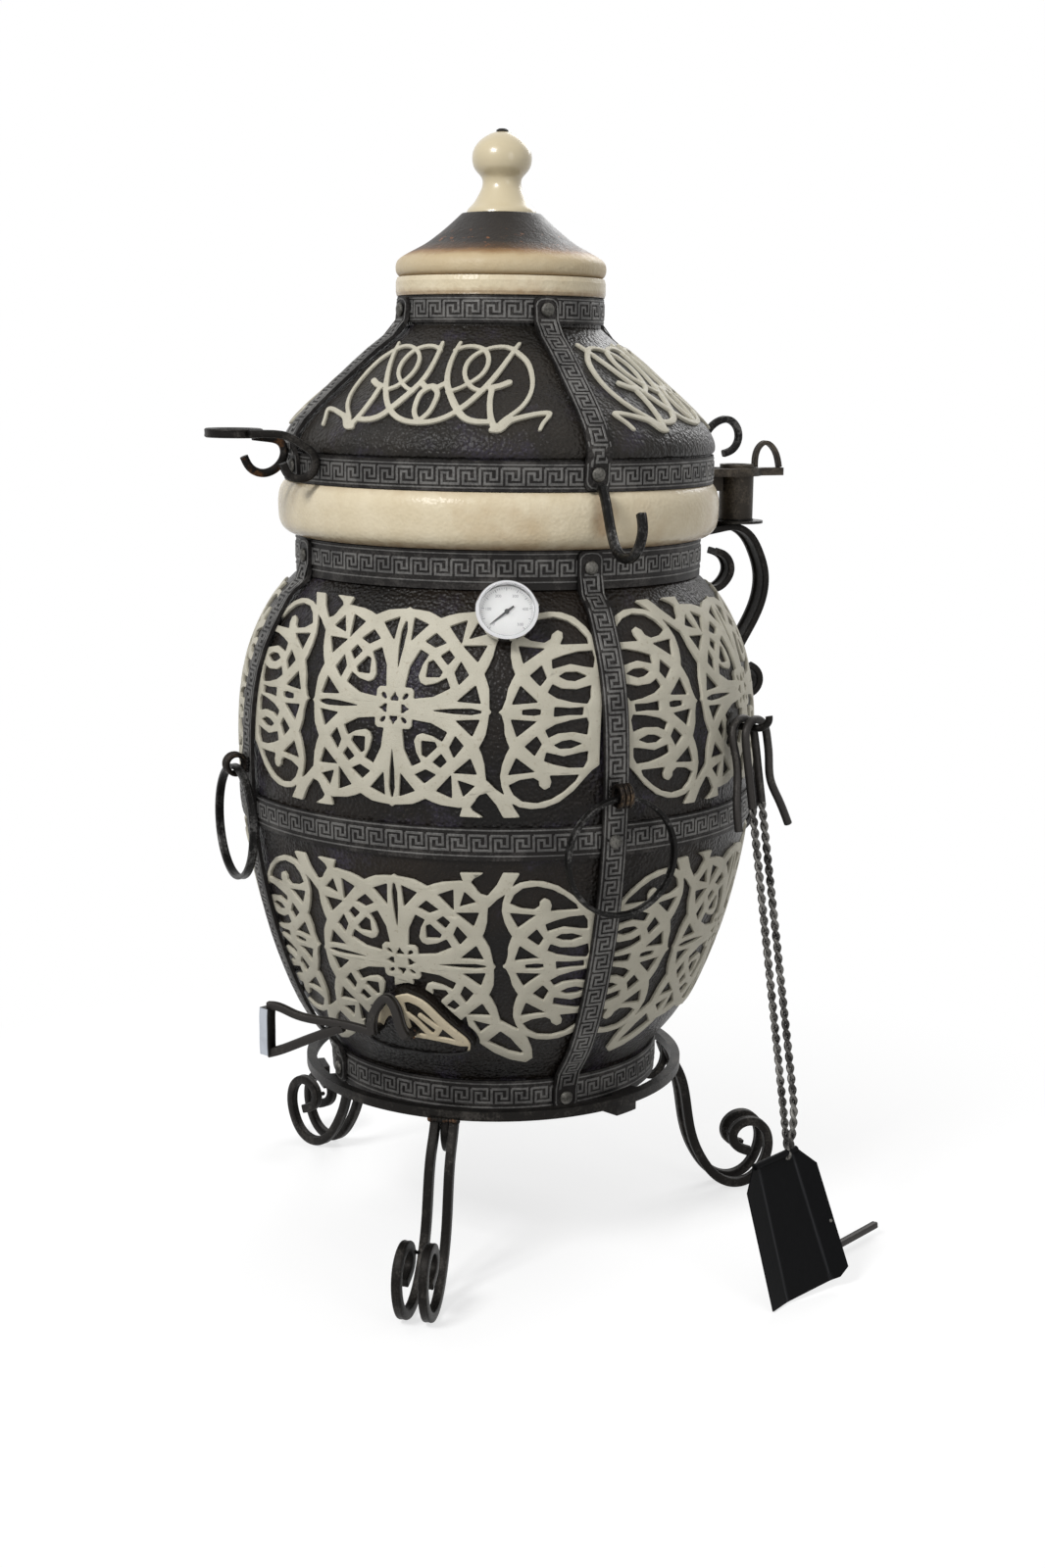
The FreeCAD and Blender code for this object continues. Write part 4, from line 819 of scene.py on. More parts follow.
SIDE_HOLES = [
    [(119, 7), (146, 9), (126, 25)], [(134, 34), (146, 23.5), (152, 32), (145, 44)],
    [(118, 63), (146, 60), (126, 45)],
    [(154, 18), (164, 12.5), (180, 8.5), (197, 6.5), (200, 12), (199, 24), (184, 20.5), (168, 21.5),
     (158, 26)],
    [(163, 33), (172, 29), (181, 28), (194, 32.5), (182, 37), (170, 37)],
    [(156, 40), (174, 44.5), (192, 41), (200, 40), (200, 50), (196, 57), (180, 56.5), (165, 53), (154, 49)],
    [(119, 73), (130, 67.5), (144, 65.5), (149.5, 69), (150, 74), (155, 78), (160.5, 75.5), (162, 70),
     (160, 63.5), (191, 63.5), (188, 70), (175, 81), (163, 88), (148, 92), (133, 90), (124, 83)],
]
SIDE_MIDDLE = [[(130, -2.5), (142, -3.5), (149, -2.5), (149, 2.5), (142, 3.5), (130, 2.5)],
               [(162, -5), (178, -3.5), (193, -4), (193, 4), (178, 3.5), (162, 5)]]


def flipped(pts, sx, sy, mid, stretch=1.0):
    """A quarter's points set about the middle, in the quarter that the signs sx and sy name."""
    return [(mid[0] + sx * x, mid[1] + sy * y * stretch) for x, y in pts]


# Each panel's middle, as (run around from the panel's azimuth, run up the belly), in millimetres.
UPPER_MIDDLE, LOWER_MIDDLE = (-4, 441), (-5, 170)
# The bar that ties a medallion's left and right arms.
BRIDGE = [(-97, -2), (-97, 2), (97, 2), (97, -2)]


def knotwork(mid, top_stretch, loops_below):
    """One panel's pierced plate: a four-armed medallion between two half medallions."""
    plate = Plate((-225, mid[1] - 138), (225, mid[1] + 122))
    quarters = [(sx, sy, top_stretch if sy > 0 else 1.0, loops_below and sy < 0)
                for sx in (-1, 1) for sy in (-1, 1)]
    for sx, sy, stretch, looped in quarters:
        for shape in ([(0, 0)] + LOBES, SIDE) + ((LOOP_END,) if looped else (DOVETAIL, TAIL)):
            plate.add(flipped(shape, sx, sy, mid, stretch))
    plate.add(flipped(BRIDGE, 1, 1, mid))
    for sx, sy, stretch, looped in quarters:
        for hole in QUARTER + SIDE_HOLES + ([LOOP_HOLE] if looped else []):
            plate.pierce(flipped(hole, sx, sy, mid, stretch))
    for sign in (-1, 1):
        for hole in SIDE_MIDDLE + [ARM_SLOT, PETAL]:
            plate.pierce(flipped(hole, sign, 1, mid))
        for hole in (ARM_SLOT, PETAL):
            plate.pierce(flipped([(y, x) for x, y in hole], 1, sign, mid))
    return plate


def within_straps(plate, profile, hide=10.5):
    """Ends the plate just under the straps that stand at 45 degrees to each side."""
    run = along(profile)
    rho = np.interp(plate.y, run, profile[:, 0])
    edge = (rho * math.pi / 4 - hide)[:, None]
    plate.field = np.maximum(plate.field, np.abs(plate.px) - edge)


belly = smooth(BELLY)
# The vent: where its middle stands on the belly, how far its pull tips up, and its outline seen along it.
VENT_Y, VENT_Z, PLUG_TILT = -238, 302, math.radians(22)
SHIELD_SIDE = [(16, 36.5), (33, 17), (50, -5), (59.5, -21), (57.5, -33), (44, -39.5)]
SHIELD = smooth([(0, 43)] + SHIELD_SIDE + [(0, -41)] + [(-x, y) for x, y in SHIELD_SIDE[::-1]] + [(0, 43)],
                90)[:-1]


# The plug's own strips, in the outline's plane: a line and its half widths.
PLUG_STRIPS = [
    ([(-9, 36), (-6.5, 16), (-3.5, -11)], (3.2, 2.6, 2.8)),
    ([(-3.5, 15), (5, 8), (16.4, -7), (22, -14)], (2.8, 3.0, 3.4)),
    ([(11, 15), (24.5, 2.5), (29.5, -2), (22, -13)], (2.8, 3.2, 2.8)),
    ([(-16, -20), (1.4, -12.6), (18.5, -13.8), (36, -17.5), (50, -22)], (2.2, 3.0, 3.4)),
    ([(-40, -11), (-31, 9.5), (-20, 15), (-17, -8)], (2.6, 3.0, 2.4)),
]
# Below this height the plug is bare, and the panel round it stands off from it by so much.
PLUG_BARE, PANEL_OFF = -25.0, 5.5
KNOT_HIGH, PLUG_HIGH, DOME_HIGH = 3.2, 2.4, 3.0


def shield_place(plate, profile):
    """Each plate point's place in the plane of the vent's outline, seen along the way the plug pulls."""
    run = along(profile)
    rho = np.interp(plate.y, run, profile[:, 0])[:, None]
    z = np.interp(plate.y, run, profile[:, 1])[:, None]
    a = plate.px / rho
    x, y = rho * np.sin(a), -rho * np.cos(a)
    up = (y - VENT_Y) * -math.sin(PLUG_TILT) + (z - VENT_Z) * math.cos(PLUG_TILT)
    return x, np.broadcast_to(up, x.shape)


def plug_field(x, up, shield):
    """A broad border with crossing strips inside it, bare low down but for a thin edge line."""
    field = np.abs(shield + 5.8) - 4.8
    for line, half in PLUG_STRIPS:
        field = np.minimum(field, strip_distance(x, up, line, half))
    field = np.maximum(field, PLUG_BARE - up)
    field = np.minimum(field, np.abs(shield + 2.4) - 1.1)
    return np.maximum(field, shield + 1.0)


def laid(name, flat, skin, body, quarter=0, turns=1, finish=relief):
    """Relief laid on a skin, quarter by quarter from the given one."""
    piece = grown(name, flat, ON_SKIN, {
        "Skin": skin, "Turns": turns, "First turn": quarter * QUARTER_TURN, "Finish": finish})
    return settled(piece, body, "dark_glaze")


def pot_knotwork():
    """Eight panels on the belly. The one over the vent leaves room for the plug, which has its own relief."""
    skin = turned_skin("belly_skin", belly, 52)
    upper = knotwork(UPPER_MIDDLE, 1.07, False)
    lower = knotwork(LOWER_MIDDLE, 1.0, True)
    for plate, level, quarters in ((upper, "upper", range(4)), (lower, "lower", range(1, 4))):
        within_straps(plate, belly)
        flat = plate_mesh(level + "_plate", plate.loops(), KNOT_HIGH)
        for quarter in quarters:
            laid("knotwork_%s_%d" % (level, quarter + 1), flat, skin, POT, quarter)
        dropped(flat)
    x, up = shield_place(lower, belly)
    shield = shape_distance(x, up, SHIELD)
    lower.field = np.maximum(lower.field, PANEL_OFF - shield)
    flat = plate_mesh("vent_panel", lower.loops(), KNOT_HIGH)
    laid("knotwork_lower_1", flat, skin, POT)
    dropped(flat, skin)
    lower.field = plug_field(x, up, shield)
    skin = turned_skin("plug_skin", pushed_out(belly, 9.0), 30)
    flat = plate_mesh("plug_plate", lower.loops(), PLUG_HIGH)
    laid("knotwork_plug", flat, skin, "vent", finish=plug_relief)
    dropped(flat, skin)


# The dome's looped strips for the right half, x from the panel's middle line: a line and its half widths.
DOME_STRIPS = [
    ([(0, 40), (12, 41.5), (24, 46), (37, 57), (46, 70), (55, 90), (62, 112), (67, 135), (71, 160)],
     (3.2, 3.8, 3.6, 2.6)),
    ([(10, 161), (9, 140), (10, 120), (14, 100), (22, 82), (37, 58), (46, 48), (58, 43), (71, 42.5)],
     (2.4, 3.2, 4.2, 3.4)),
    ([(8, 148), (17, 154.5), (28, 155), (38, 150), (46, 138), (49, 124), (46, 109), (37, 97), (28, 89),
      (19, 84)], (2.6, 2.8, 2.6)),
    ([(73, 146), (64, 153), (52, 155), (40, 150), (30, 138), (27, 124), (30, 109), (37, 97), (46, 89),
      (55, 86)], (2.6, 2.8, 2.6)),
    ([(73, 146), (86, 133), (97, 113), (103, 92), (103, 74), (97, 58), (88, 46), (82, 35)], (2.8, 2.6, 3.4)),
    ([(62, 91), (70, 94), (77, 99)], (4.2, 4.6)),
    ([(63, 92), (65, 76), (69, 60), (74, 46), (80, 35)], (3.4, 3.2, 3.6)),
    ([(78, 33), (86, 33), (92, 42), (106, 50), (120, 54.5), (131, 54), (128, 44), (126, 34)],
     (3.6, 3.8, 3.2, 2.4)),
    ([(0, 92), (6, 90), (14, 98)], (4.5, 3.4)),
    ([(0, 42), (7, 52), (10, 68), (8, 84), (0, 92)], (3.2, 3.0, 3.4)),
]
# The panel's middle line, and the share of each half width that the strips keep.
DOME_MIDDLE, DOME_SLIM = -4, 0.88


def dome_knotwork():
    """The looped strips on the dome's four quarters."""
    profile = smooth(DOME)
    skin = turned_skin("dome_skin", profile, 52)
    plate = Plate((-160, 20), (160, 175))
    for line, half in DOME_STRIPS:
        for sx in (-1, 1):
            path = [(sx * x + DOME_MIDDLE, y) for x, y in line]
            plate.strip(smooth(path, 40) if len(path) > 3 else path, [DOME_SLIM * h for h in half])
    within_straps(plate, profile)
    flat = plate_mesh("dome_plate", plate.loops(), DOME_HIGH, edge=0.8)
    laid("knotwork_dome", flat, skin, "dome", turns=4)
    dropped(flat, skin)


# ---------------------------------------------------------------- key courses on bands and straps
KEY_PITCH, KEY_HIGH = 21.8, 15.5
KEY_PATH = [(0, 15.5), (17, 15.5), (17, 4.7), (10.9, 4.7), (10.9, 10.8), (4.8, 10.8), (4.8, 0), (21.8, 0),
            (21.8, 15.5)]
KEY_HALF, KEY_RISE = 1.35, 0.9
LINE_HALF, LINE_RISE, LINE_EDGE = 0.8, 0.7, 0.25
# The straps' edge lines stand this far from their middle, and end in a tab drawn as (across, from its end).
STRAP_LINE, STRAP_END = 12, 24
TAB = [(-12, 9), (-10.6, 5.4), (-7, 2.6), (0, 1.8), (7, 2.6), (10.6, 5.4), (12, 9)]


def mitred(path, half):
    """Left and right edges of a flat line with mitred corners."""
    p = np.asarray(path, float)
    way = np.diff(p, axis=0)
    way /= np.hypot(way[:, 0], way[:, 1])[:, None]
    left = np.column_stack([-way[:, 1], way[:, 0]])
    before, after = np.vstack([left[:1], left]), np.vstack([left, left[-1:]])
    bisect = before + after
    bisect *= (2 / (bisect ** 2).sum(1))[:, None]
    return p + bisect * half, p - bisect * half


def ribbon(name, paths, half, rise, sink=0.4, edge=0.35):
    """Raised lines with sloping sides, in millimetres, as a flat mesh in metres."""
    verts, faces = [], []
    for path in paths:
        rows = []
        for side, z in ((half, -sink), (half, rise - edge), (half - edge, rise)):
            rows.append((mitred(path, side)[0], z))
        for side, z in ((half - edge, rise), (half, rise - edge), (half, -sink)):
            rows.append((mitred(path, side)[1], z))
        base, n, m = len(verts), len(path), len(rows)
        for k in range(n):
            verts += [(pts[k][0] * MM, pts[k][1] * MM, z * MM) for pts, z in rows]
        for k in range(n - 1):
            for r in range(m):
                a, b = base + k * m + r, base + k * m + (r + 1) % m
                faces.append((b, a, a + m, b + m))
        faces.append(tuple(base + r for r in range(m)))
        faces.append(tuple(base + (n - 1) * m + r for r in reversed(range(m))))
    mesh = bpy.data.meshes.new(name)
    mesh.from_pydata(verts, [], faces)
    cleaned(mesh)
    return link(name, mesh)


def course(name, unit, skin, count, first, step, stretch, turns=1):
    """A row of units on a skin. Its first place and its step are (run around, run up) in millimetres."""
    return grown(name, unit, IN_COURSES, {
        "Skin": skin, "Count": count, "First": (first[0] * MM, first[1] * MM, 0),
        "Step": (step[0] * MM, step[1] * MM, 0), "Stretch": stretch, "Turns": turns, "Finish": key_iron})


def band_courses():
    """A key course and its edge lines round every band, each low edge given in millimetres up the band."""
    unit = ribbon("key_unit", [KEY_PATH], KEY_HALF, KEY_RISE)
    line = ribbon("line_unit", [[(0, 0), (KEY_PITCH, 0)]], LINE_HALF, LINE_RISE, edge=LINE_EDGE)
    middle = np.array([p for p in belly if 480 < p[1] < 534])
    bands = [
        ("top", [(221 + BAND_OUT, 757), (221 + BAND_OUT, 796.5)], POT, (14.5, 8.0, 36.5)),
        ("foot", [(183.7 + BAND_OUT, 185), (183.7 + BAND_OUT, 222)], POT, (12.5, 7.0, 33.5)),
        ("middle", pushed_out(middle, BAND_OUT), POT, (19.5, 13.5, 40.5)),
        ("dome", [(236.3, 856.6), (236.3, 887)], "dome", (7.5, 3.6, 26.8)),
        ("neck", [(112.6, 1024.5), (112.6, 1052)], "dome", (6.2, 3.0, 24.8)),
    ]
    for name, profile, body, (key_low, *edges) in bands:
        profile = np.asarray(profile, float)
        skin = turned_skin(name + "_skin", profile, 186)
        radius = profile[:, 0].mean()
        count = round(2 * math.pi * radius / KEY_PITCH)
        pitch = 2 * math.pi * radius / count
        rows = [("key_" + name, unit, key_low)]
        rows += [("edge_%s_%d" % (name, k), line, low) for k, low in enumerate(edges)]
        parts = [course(part, shape, skin, count, (-math.pi * radius, low), (pitch, 0),
                        (pitch / KEY_PITCH, 1, 1)) for part, shape, low in rows]
        settled(joined("key_course_" + name, parts), body, "brushed_iron")
        dropped(skin)
    dropped(unit, line)


def strap_courses():
    """A key course, two edge lines and a tab at each end on the four straps of the pot and of the dome."""
    standing = [(KEY_HIGH - y - KEY_HIGH / 2, x) for x, y in KEY_PATH]
    unit = ribbon("strap_key_unit", [standing], KEY_HALF, KEY_RISE)
    line = ribbon("strap_line_unit", [[(x, 0), (x, KEY_PITCH)] for x in (-STRAP_LINE, STRAP_LINE)],
                  LINE_HALF, LINE_RISE, edge=LINE_EDGE)
    for name, profile, low, high, body in (("pot", POT_STRAP, 186, 796, POT),
                                           ("dome", DOME_STRAP, 858, 1051, "dome")):
        face = pushed_out(smooth(profile), STRAP_OUT)
        skin = turned_skin(name + "_strap_skin", face, 12, 45)
        ends = np.interp([low, high], face[:, 1], along(face))
        first, last = ends[0] + STRAP_END, ends[1] - STRAP_END
        count = round((last - first) / KEY_PITCH)
        pitch = (last - first) / count
        grow = (1, pitch / KEY_PITCH, 1)
        paths = [[(-STRAP_LINE, start)] + [(x, end + way * y) for x, y in TAB] + [(STRAP_LINE, start)]
                 for start, end, way in ((first, ends[0], 1), (last, ends[1], -1))]
        tabs = ribbon("tab_unit", paths, LINE_HALF, LINE_RISE, edge=LINE_EDGE)
        parts = [course("tab_s", tabs, skin, 1, (0, 0), (0, 0), (1, 1, 1), 4),
                 course("key_s", unit, skin, count, (0, first), (0, pitch), grow, 4),
                 course("line_s", line, skin, count, (0, first), (0, pitch), grow, 4)]
        settled(joined("key_straps_" + name, parts), body, "brushed_iron")
        dropped(skin, tabs)
    dropped(unit, line)


# ---------------------------------------------------------------- rivet heads
RIVET_HEAD = [(0, -0.8), (7.3, -0.8), (7.4, 0.3), (6.9, 1.2), (5.6, 2.2), (3.6, 2.9), (1.7, 3.2), (0, 3.3)]
HEAD_HIGH = RIVET_HEAD[-1][1]


def rivet_tree():
    """A head set at every point, square to the point's out vector."""
    g = Nodes("rivet_heads", {"Head": "Object", "Finish": "Material"})
    out = g.read("out", "FLOAT_VECTOR")
    turn = g.add("FunctionNodeAlignRotationToVector", {"axis": "Z"}, {"Vector": out})
    head = g.add("GeometryNodeObjectInfo", {}, {"Object": g.of("Head")}, "Geometry")
    return g.finish(g.add("GeometryNodeInstanceOnPoints", {}, {"Points": g.of("Geometry"), "Instance": head,
                                                               "Rotation": turn}))


def rivets():
    """A domed head over each corner group of the two rivet nodes: four straps, some heights on each."""
    tree, head = rivet_tree(), lathe("rivet_head", RIVET_HEAD, rivet_iron, 20)
    for node, body in (("body_rivets", POT), ("dome_rivets", "dome")):
        groups = {}
        for v in NODES[node].data.vertices:
            quarter = round((math.degrees(math.atan2(v.co.x, -v.co.y)) % 360 - 45) / 90)
            groups.setdefault((quarter, round(v.co.z * 10)), []).append(v.co)
        spots, outs = [], []
        for (quarter, _), corners in sorted(groups.items()):
            az = 45 + 90 * quarter
            heights = [c.z for c in corners]
            reach = max(math.hypot(c.x, c.y) for c in corners)
            spots.append(tuple(polar(reach - HEAD_HIGH * MM, az, (min(heights) + max(heights)) / 2)))
            outs.append(tuple(polar(1, az)))
        mesh = bpy.data.meshes.new(node + "_spots")
        mesh.from_pydata(spots, [], [])
        mesh.attributes.new("out", "FLOAT_VECTOR", "POINT").data.foreach_set("vector", np.ravel(outs))
        line = link(node + "_spots", mesh)
        piece = grown(node + "_domed", line, tree, {"Head": head, "Finish": rivet_iron})
        shaded(piece.data, 60)
        settled(piece, body, "worn_rivet", node)
        dropped(line)
    dropped(head)


# ---------------------------------------------------------------- cap and knob
KNOB = [(38, 1141.8), (37.4, 1144), (32, 1150.4), (25.4, 1160.6), (22, 1167.6), (20.8, 1173.5), (22, 1178.8),
        (26.2, 1183.8), (29.9, 1188.8), (31.9, 1195), (32.2, 1201), (30.6, 1208), (26.6, 1214.6),
        (18.6, 1221.4), (10, 1225.6), (6.8, 1226.6)]
CAP = [(108.6, 1073.4), (111.6, 1074.9), (114, 1079), (114.5, 1084), (113, 1089.8), (108, 1094.6),
       (100, 1099.3), (91, 1104), (81.8, 1109.2), (72.5, 1115.8), (63.4, 1123), (53, 1132), (43.8, 1140.6)]


def cap_and_knob():
    """The turned knob, and the loose cap with the spigot that sits in the dome's throat."""
    knob = [(0, 1141.6), (37.4, 1141.6)] + [tuple(p) for p in smooth(KNOB, 70)] + [(0, 1226.4)]
    settled(lathe("knob_turned", knob, knob_glaze), "cap", "cream_glaze", "knob")
    spigot = 1057.3
    cap = [(0, spigot), (73, spigot), (74, spigot + 1), (74, 1073.3), (107.5, 1073.3)]
    cap += [tuple(p) for p in smooth(CAP, 70)] + [(42.6, 1141.3), (0, 1141.3)]
    settled(lathe("cap_turned", cap, cap_glaze), "cap", "shaded_glaze", "cap")


# ---------------------------------------------------------------- forged bars
def bar_tree():
    """A section swept along paths. Each point's side vector lies along the section's own x axis."""
    g = Nodes("swept_bar", {"Section": "Object", "Finish": "Material"})
    path = g.add("GeometryNodeMeshToCurve", {}, {"Mesh": g.of("Geometry")})
    path = g.add("GeometryNodeSetCurveRadius", {}, {"Curve": path, "Radius": g.read("girth", "FLOAT")})
    path = g.add("GeometryNodeSetCurveNormal", {"mode": "FREE"},
                 {"Curve": path, "Normal": g.read("side", "FLOAT_VECTOR")})
    edge = g.add("GeometryNodeObjectInfo", {}, {"Object": g.of("Section")}, "Geometry")
    edge = g.add("GeometryNodeMeshToCurve", {}, {"Mesh": edge})
    return g.finish(g.add("GeometryNodeCurveToMesh", {}, {"Curve": path, "Profile Curve": edge,
                                                          "Fill Caps": True}))


def wired(name, runs):
    """One mesh of bare paths: each run is (points, side, girth from end to end, closed)."""
    verts, edges, sides, girths = [], [], [], []
    for points, side, girth, closed in runs:
        base, n = len(verts), len(points)
        verts += [tuple(p) for p in points]
        edges += [(base + k, base + k + 1) for k in range(n - 1)] + ([(base + n - 1, base)] if closed else [])
        sides += [tuple(side)] * n
        girths += list(spread(girth, n))
    mesh = bpy.data.meshes.new(name)
    mesh.from_pydata(verts, edges, [])
    mesh.attributes.new("side", "FLOAT_VECTOR", "POINT").data.foreach_set("vector", np.ravel(sides))
    mesh.attributes.new("girth", "FLOAT", "POINT").data.foreach_set("value", girths)
    return link(name, mesh)


def outline(name, points):
    """A closed section, x across the bar and y through it, in millimetres."""
    mesh = bpy.data.meshes.new(name)
    n = len(points)
    mesh.from_pydata([(x * MM, y * MM, 0) for x, y in points], [(k, (k + 1) % n) for k in range(n)], [])
    return link(name, mesh)


def channelled(wide, thick, lip=2.4, dip=0.8, corner=1.2):
    """A flat bar with rounded corners and a shallow channel down both broad faces."""
    w, t, q = wide / 2, thick / 2, corner * 0.3
    right = [(w - lip - dip, t - dip), (w - lip, t), (w - corner, t), (w - q, t - q), (w, t - corner)]
    right += [(x, -y) for x, y in right[::-1]]
    return right + [(-x, -y) for x, y in right]


def round_bar(d, sides=14):
    """A round section of diameter d."""
    turns = [2 * math.pi * k / sides for k in range(sides)]
    return [(d / 2 * math.cos(a), d / 2 * math.sin(a)) for a in turns]


BARS, CREASE = bar_tree(), 38


def swept(name, runs, section, finish=forged):
    """A section swept along every one of the runs."""
    path, edge = wired(name + "_path", runs), outline(name + "_section", section)
    piece = grown(name, path, BARS, {"Section": edge, "Finish": finish})
    dropped(path, edge)
    cleaned(piece.data, 1e-6)
    shaded(piece.data, CREASE)
    return piece


def merged(name, pieces):
    """One object from several, with the finish of each kept."""
    mesh = bpy.data.meshes.new(name)
    bm = bmesh.new()
    for piece in pieces:
        mat = piece.data.materials[0]
        if mat.name not in mesh.materials:
            mesh.materials.append(mat)
        for f in piece.data.polygons:
            f.material_index = mesh.materials.find(mat.name)
        bm.from_mesh(piece.data)
    bm.to_mesh(mesh)
    bm.free()
    mesh.set_sharp_from_angle(angle=math.radians(CREASE))
    dropped(*pieces)
    return link(name, mesh)


# How far out a bar that spins has its upright pin, in metres.
SPIN_OUT = 0.213


def upright(points, az, t=0.0, spin=0.0, count=80, girth=(1, 1)):
    """A smooth run through (radius, height) points in the upright plane at azimuth az, t beside the axis."""
    m = radial_frame(az, t * MM)
    if spin:
        pin = m @ Vector((SPIN_OUT, 0, 0))
        turn = Matrix.Rotation(math.radians(spin), 4, "Z")
        m = Matrix.Translation(pin) @ turn @ Matrix.Translation(-pin) @ m
    return [m @ Vector((x * MM, y * MM, 0)) for x, y in smooth(points, count)], m.col[2].xyz, girth, False


def hoop(centre, out, up, r, count=64):
    """A closed circle of radius r in millimetres about centre, in the plane of out and up."""
    side = out.cross(up)
    turns = [2 * math.pi * k / count for k in range(count)]
    return [centre + (out * math.cos(a) + up * math.sin(a)) * r * MM for a in turns], side, (1, 1), True


# Runs of the forged bars, as (radius, height) in millimetres.
LEG = [(212, 186), (218, 171), (228, 152), (236, 126), (241, 96), (249, 64), (263, 36), (283, 13.5),
       (306, 5.4), (327, 12), (341, 31), (345.5, 54), (339, 73), (324, 82.5), (308, 79.5), (299.5, 67.5),
       (303, 54.5), (313, 47.5), (322, 44)]
CURL = [(211, 186), (212.5, 172), (209, 158), (200, 148.5), (189.5, 149.5), (185, 158), (189, 165)]
ARM = [(229.8, 791.8), (241, 791.5), (254, 793), (279, 797), (300, 798.6), (319, 789.5), (333, 769.5),
       (342, 742), (339.5, 713), (327, 685), (313, 662), (302, 640), (298.6, 620), (304, 605), (318, 599.5),
       (332, 603), (339, 615), (335, 628), (325, 635)]
SMALL = [(260, 727.5), (267, 727.3), (278, 727.5), (290, 735), (296.5, 750), (289, 765), (275, 771)]
FRONT = [(246, 861.3), (250, 860.5), (253.5, 856.5), (259.5, 845), (266, 830), (275, 812), (287, 799),
         (303, 794.5), (320, 799), (333, 813), (337, 827), (333, 841)]
REAR = [(246.5, 889.5), (251, 890.5), (257, 897), (266, 911), (279, 920.5), (292, 922), (302.5, 914),
        (305.5, 900), (298.5, 888), (286, 883)]
SIDE_HOOK = [(284, 904.8), (268, 903), (253, 898), (249.6, 890), (252, 879.5), (262, 869.5), (275, 866.5),
             (287, 872), (294, 884)]
SCROLL = [(306, 909), (284, 909), (265, 906.5), (249, 897.5), (236.5, 887), (235, 878), (238.5, 868.5),
          (250, 863.2), (263, 866.5), (270, 879)]
D_LOOP = [(329, 867.1), (329.5, 879.5), (334, 890.5), (342, 895.5), (351, 891.5), (358.5, 880.5),
          (362, 867.1)]
EYE_RHO, EYE_Z, RING_DROP = 308.26, 557.0, 63.2
# The three legs' azimuths, and how far each of a leg's two bars stands aside and spins.
LEG_AZ, LEG_ASIDE, LEG_SPIN = (6.5, 126.5, 246.5), 10.3, 1.7
# The quarters that carry the hinge and, across from it, the dome's side handle.
HINGE_AZ, HANDLE_AZ = 135, -45


def weld(name, spots, size, seed, finish=weld_iron):
    """Rough beads of weld along a line of spots."""
    g = Nodes("weld_beads", {"Size": "Float", "Seed": "Int", "Finish": "Material"})
    bead = g.add("GeometryNodeMeshIcoSphere", {}, {"Radius": 1.0, "Subdivisions": 2})
    share = g.add("FunctionNodeRandomValue", {"data_type": "FLOAT"},
                  {2: 0.7, 3: 1.15, "Seed": g.of("Seed")}, 1)
    scale = g.add("ShaderNodeMath", {"operation": "MULTIPLY"}, {0: share, 1: g.of("Size")})
    turn = g.add("FunctionNodeRandomValue", {"data_type": "FLOAT_VECTOR"}, {0: (0, 0, 0), 1: (3, 3, 3)})
    beads = g.add("GeometryNodeInstanceOnPoints", {}, {"Points": g.of("Geometry"), "Instance": bead,
                                                       "Scale": scale, "Rotation": turn})
    mesh = bpy.data.meshes.new(name + "_line")
    mesh.from_pydata([tuple(p) for p in spots], [], [])
    line = link(name + "_line", mesh)
    piece = grown(name, line, g.finish(beads), {"Size": size * MM, "Seed": seed, "Finish": finish})
    dropped(line)
    piece.data.shade_smooth()
    return piece


def stand():
    """Three legs, each a pair of bars welded at hoop and foot, and a small curl beside each."""
    taper = (1, 1, 1, 1, 1, 1, 0.95, 0.85)
    for k, (name, az) in enumerate(zip(("leg_front", "leg_right", "leg_left"), LEG_AZ)):
        runs = [upright(LEG, az, side * LEG_ASIDE, side * LEG_SPIN, 130, taper) for side in (-1, 1)]
        bars = swept(name + "_bars", runs, channelled(10, 11, 2.6, 0.3, 1.8))
        top = [polar(0.218, az, 0.1865, t * MM) for t in np.linspace(-15, 15, 9)]
        foot = [polar(0.2965, az, 0.068, t * MM) for t in (-13, -9, -5, 5, 9)]
        beads = weld(name + "_weld", top + foot, 3.0, 3 + k)
        settled(merged(name + "_forged", [bars, beads]), POT, "forged_iron", name)
    runs = [upright(CURL, az, count=50, girth=(1, 1, 0.8)) for az in LEG_AZ]
    settled(swept("curls_forged", runs, channelled(9.4, 8, 2.2, 0.5, 1.6)), POT, "forged_iron", "leg_curls")


def hinge():
    """The scrolled arm that carries the lid's post, its small curl, and the loop on the lid's bracket."""
    arm = swept("arm", [upright(ARM, HINGE_AZ, count=150, girth=(1, 1, 1, 1, 0.85))],
                channelled(27, 8, 5.0, 2.0, 1.6))
    settled(arm, POT, "forged_iron", "hinge_arm")
    curl = swept("curl", [upright(SMALL, HINGE_AZ, count=50, girth=(1, 1, 0.8))],
                 channelled(22, 8, 4.4, 1.6, 1.6))
    settled(curl, POT, "forged_iron", "hinge_curl")
    loop = swept("d_loop", [upright(D_LOOP, HINGE_AZ, count=60)], channelled(9, 5, 2.0, 0.3, 1.2),
                 bracket_iron)
    settled(loop, "dome", "forged_iron", "bracket_loop")


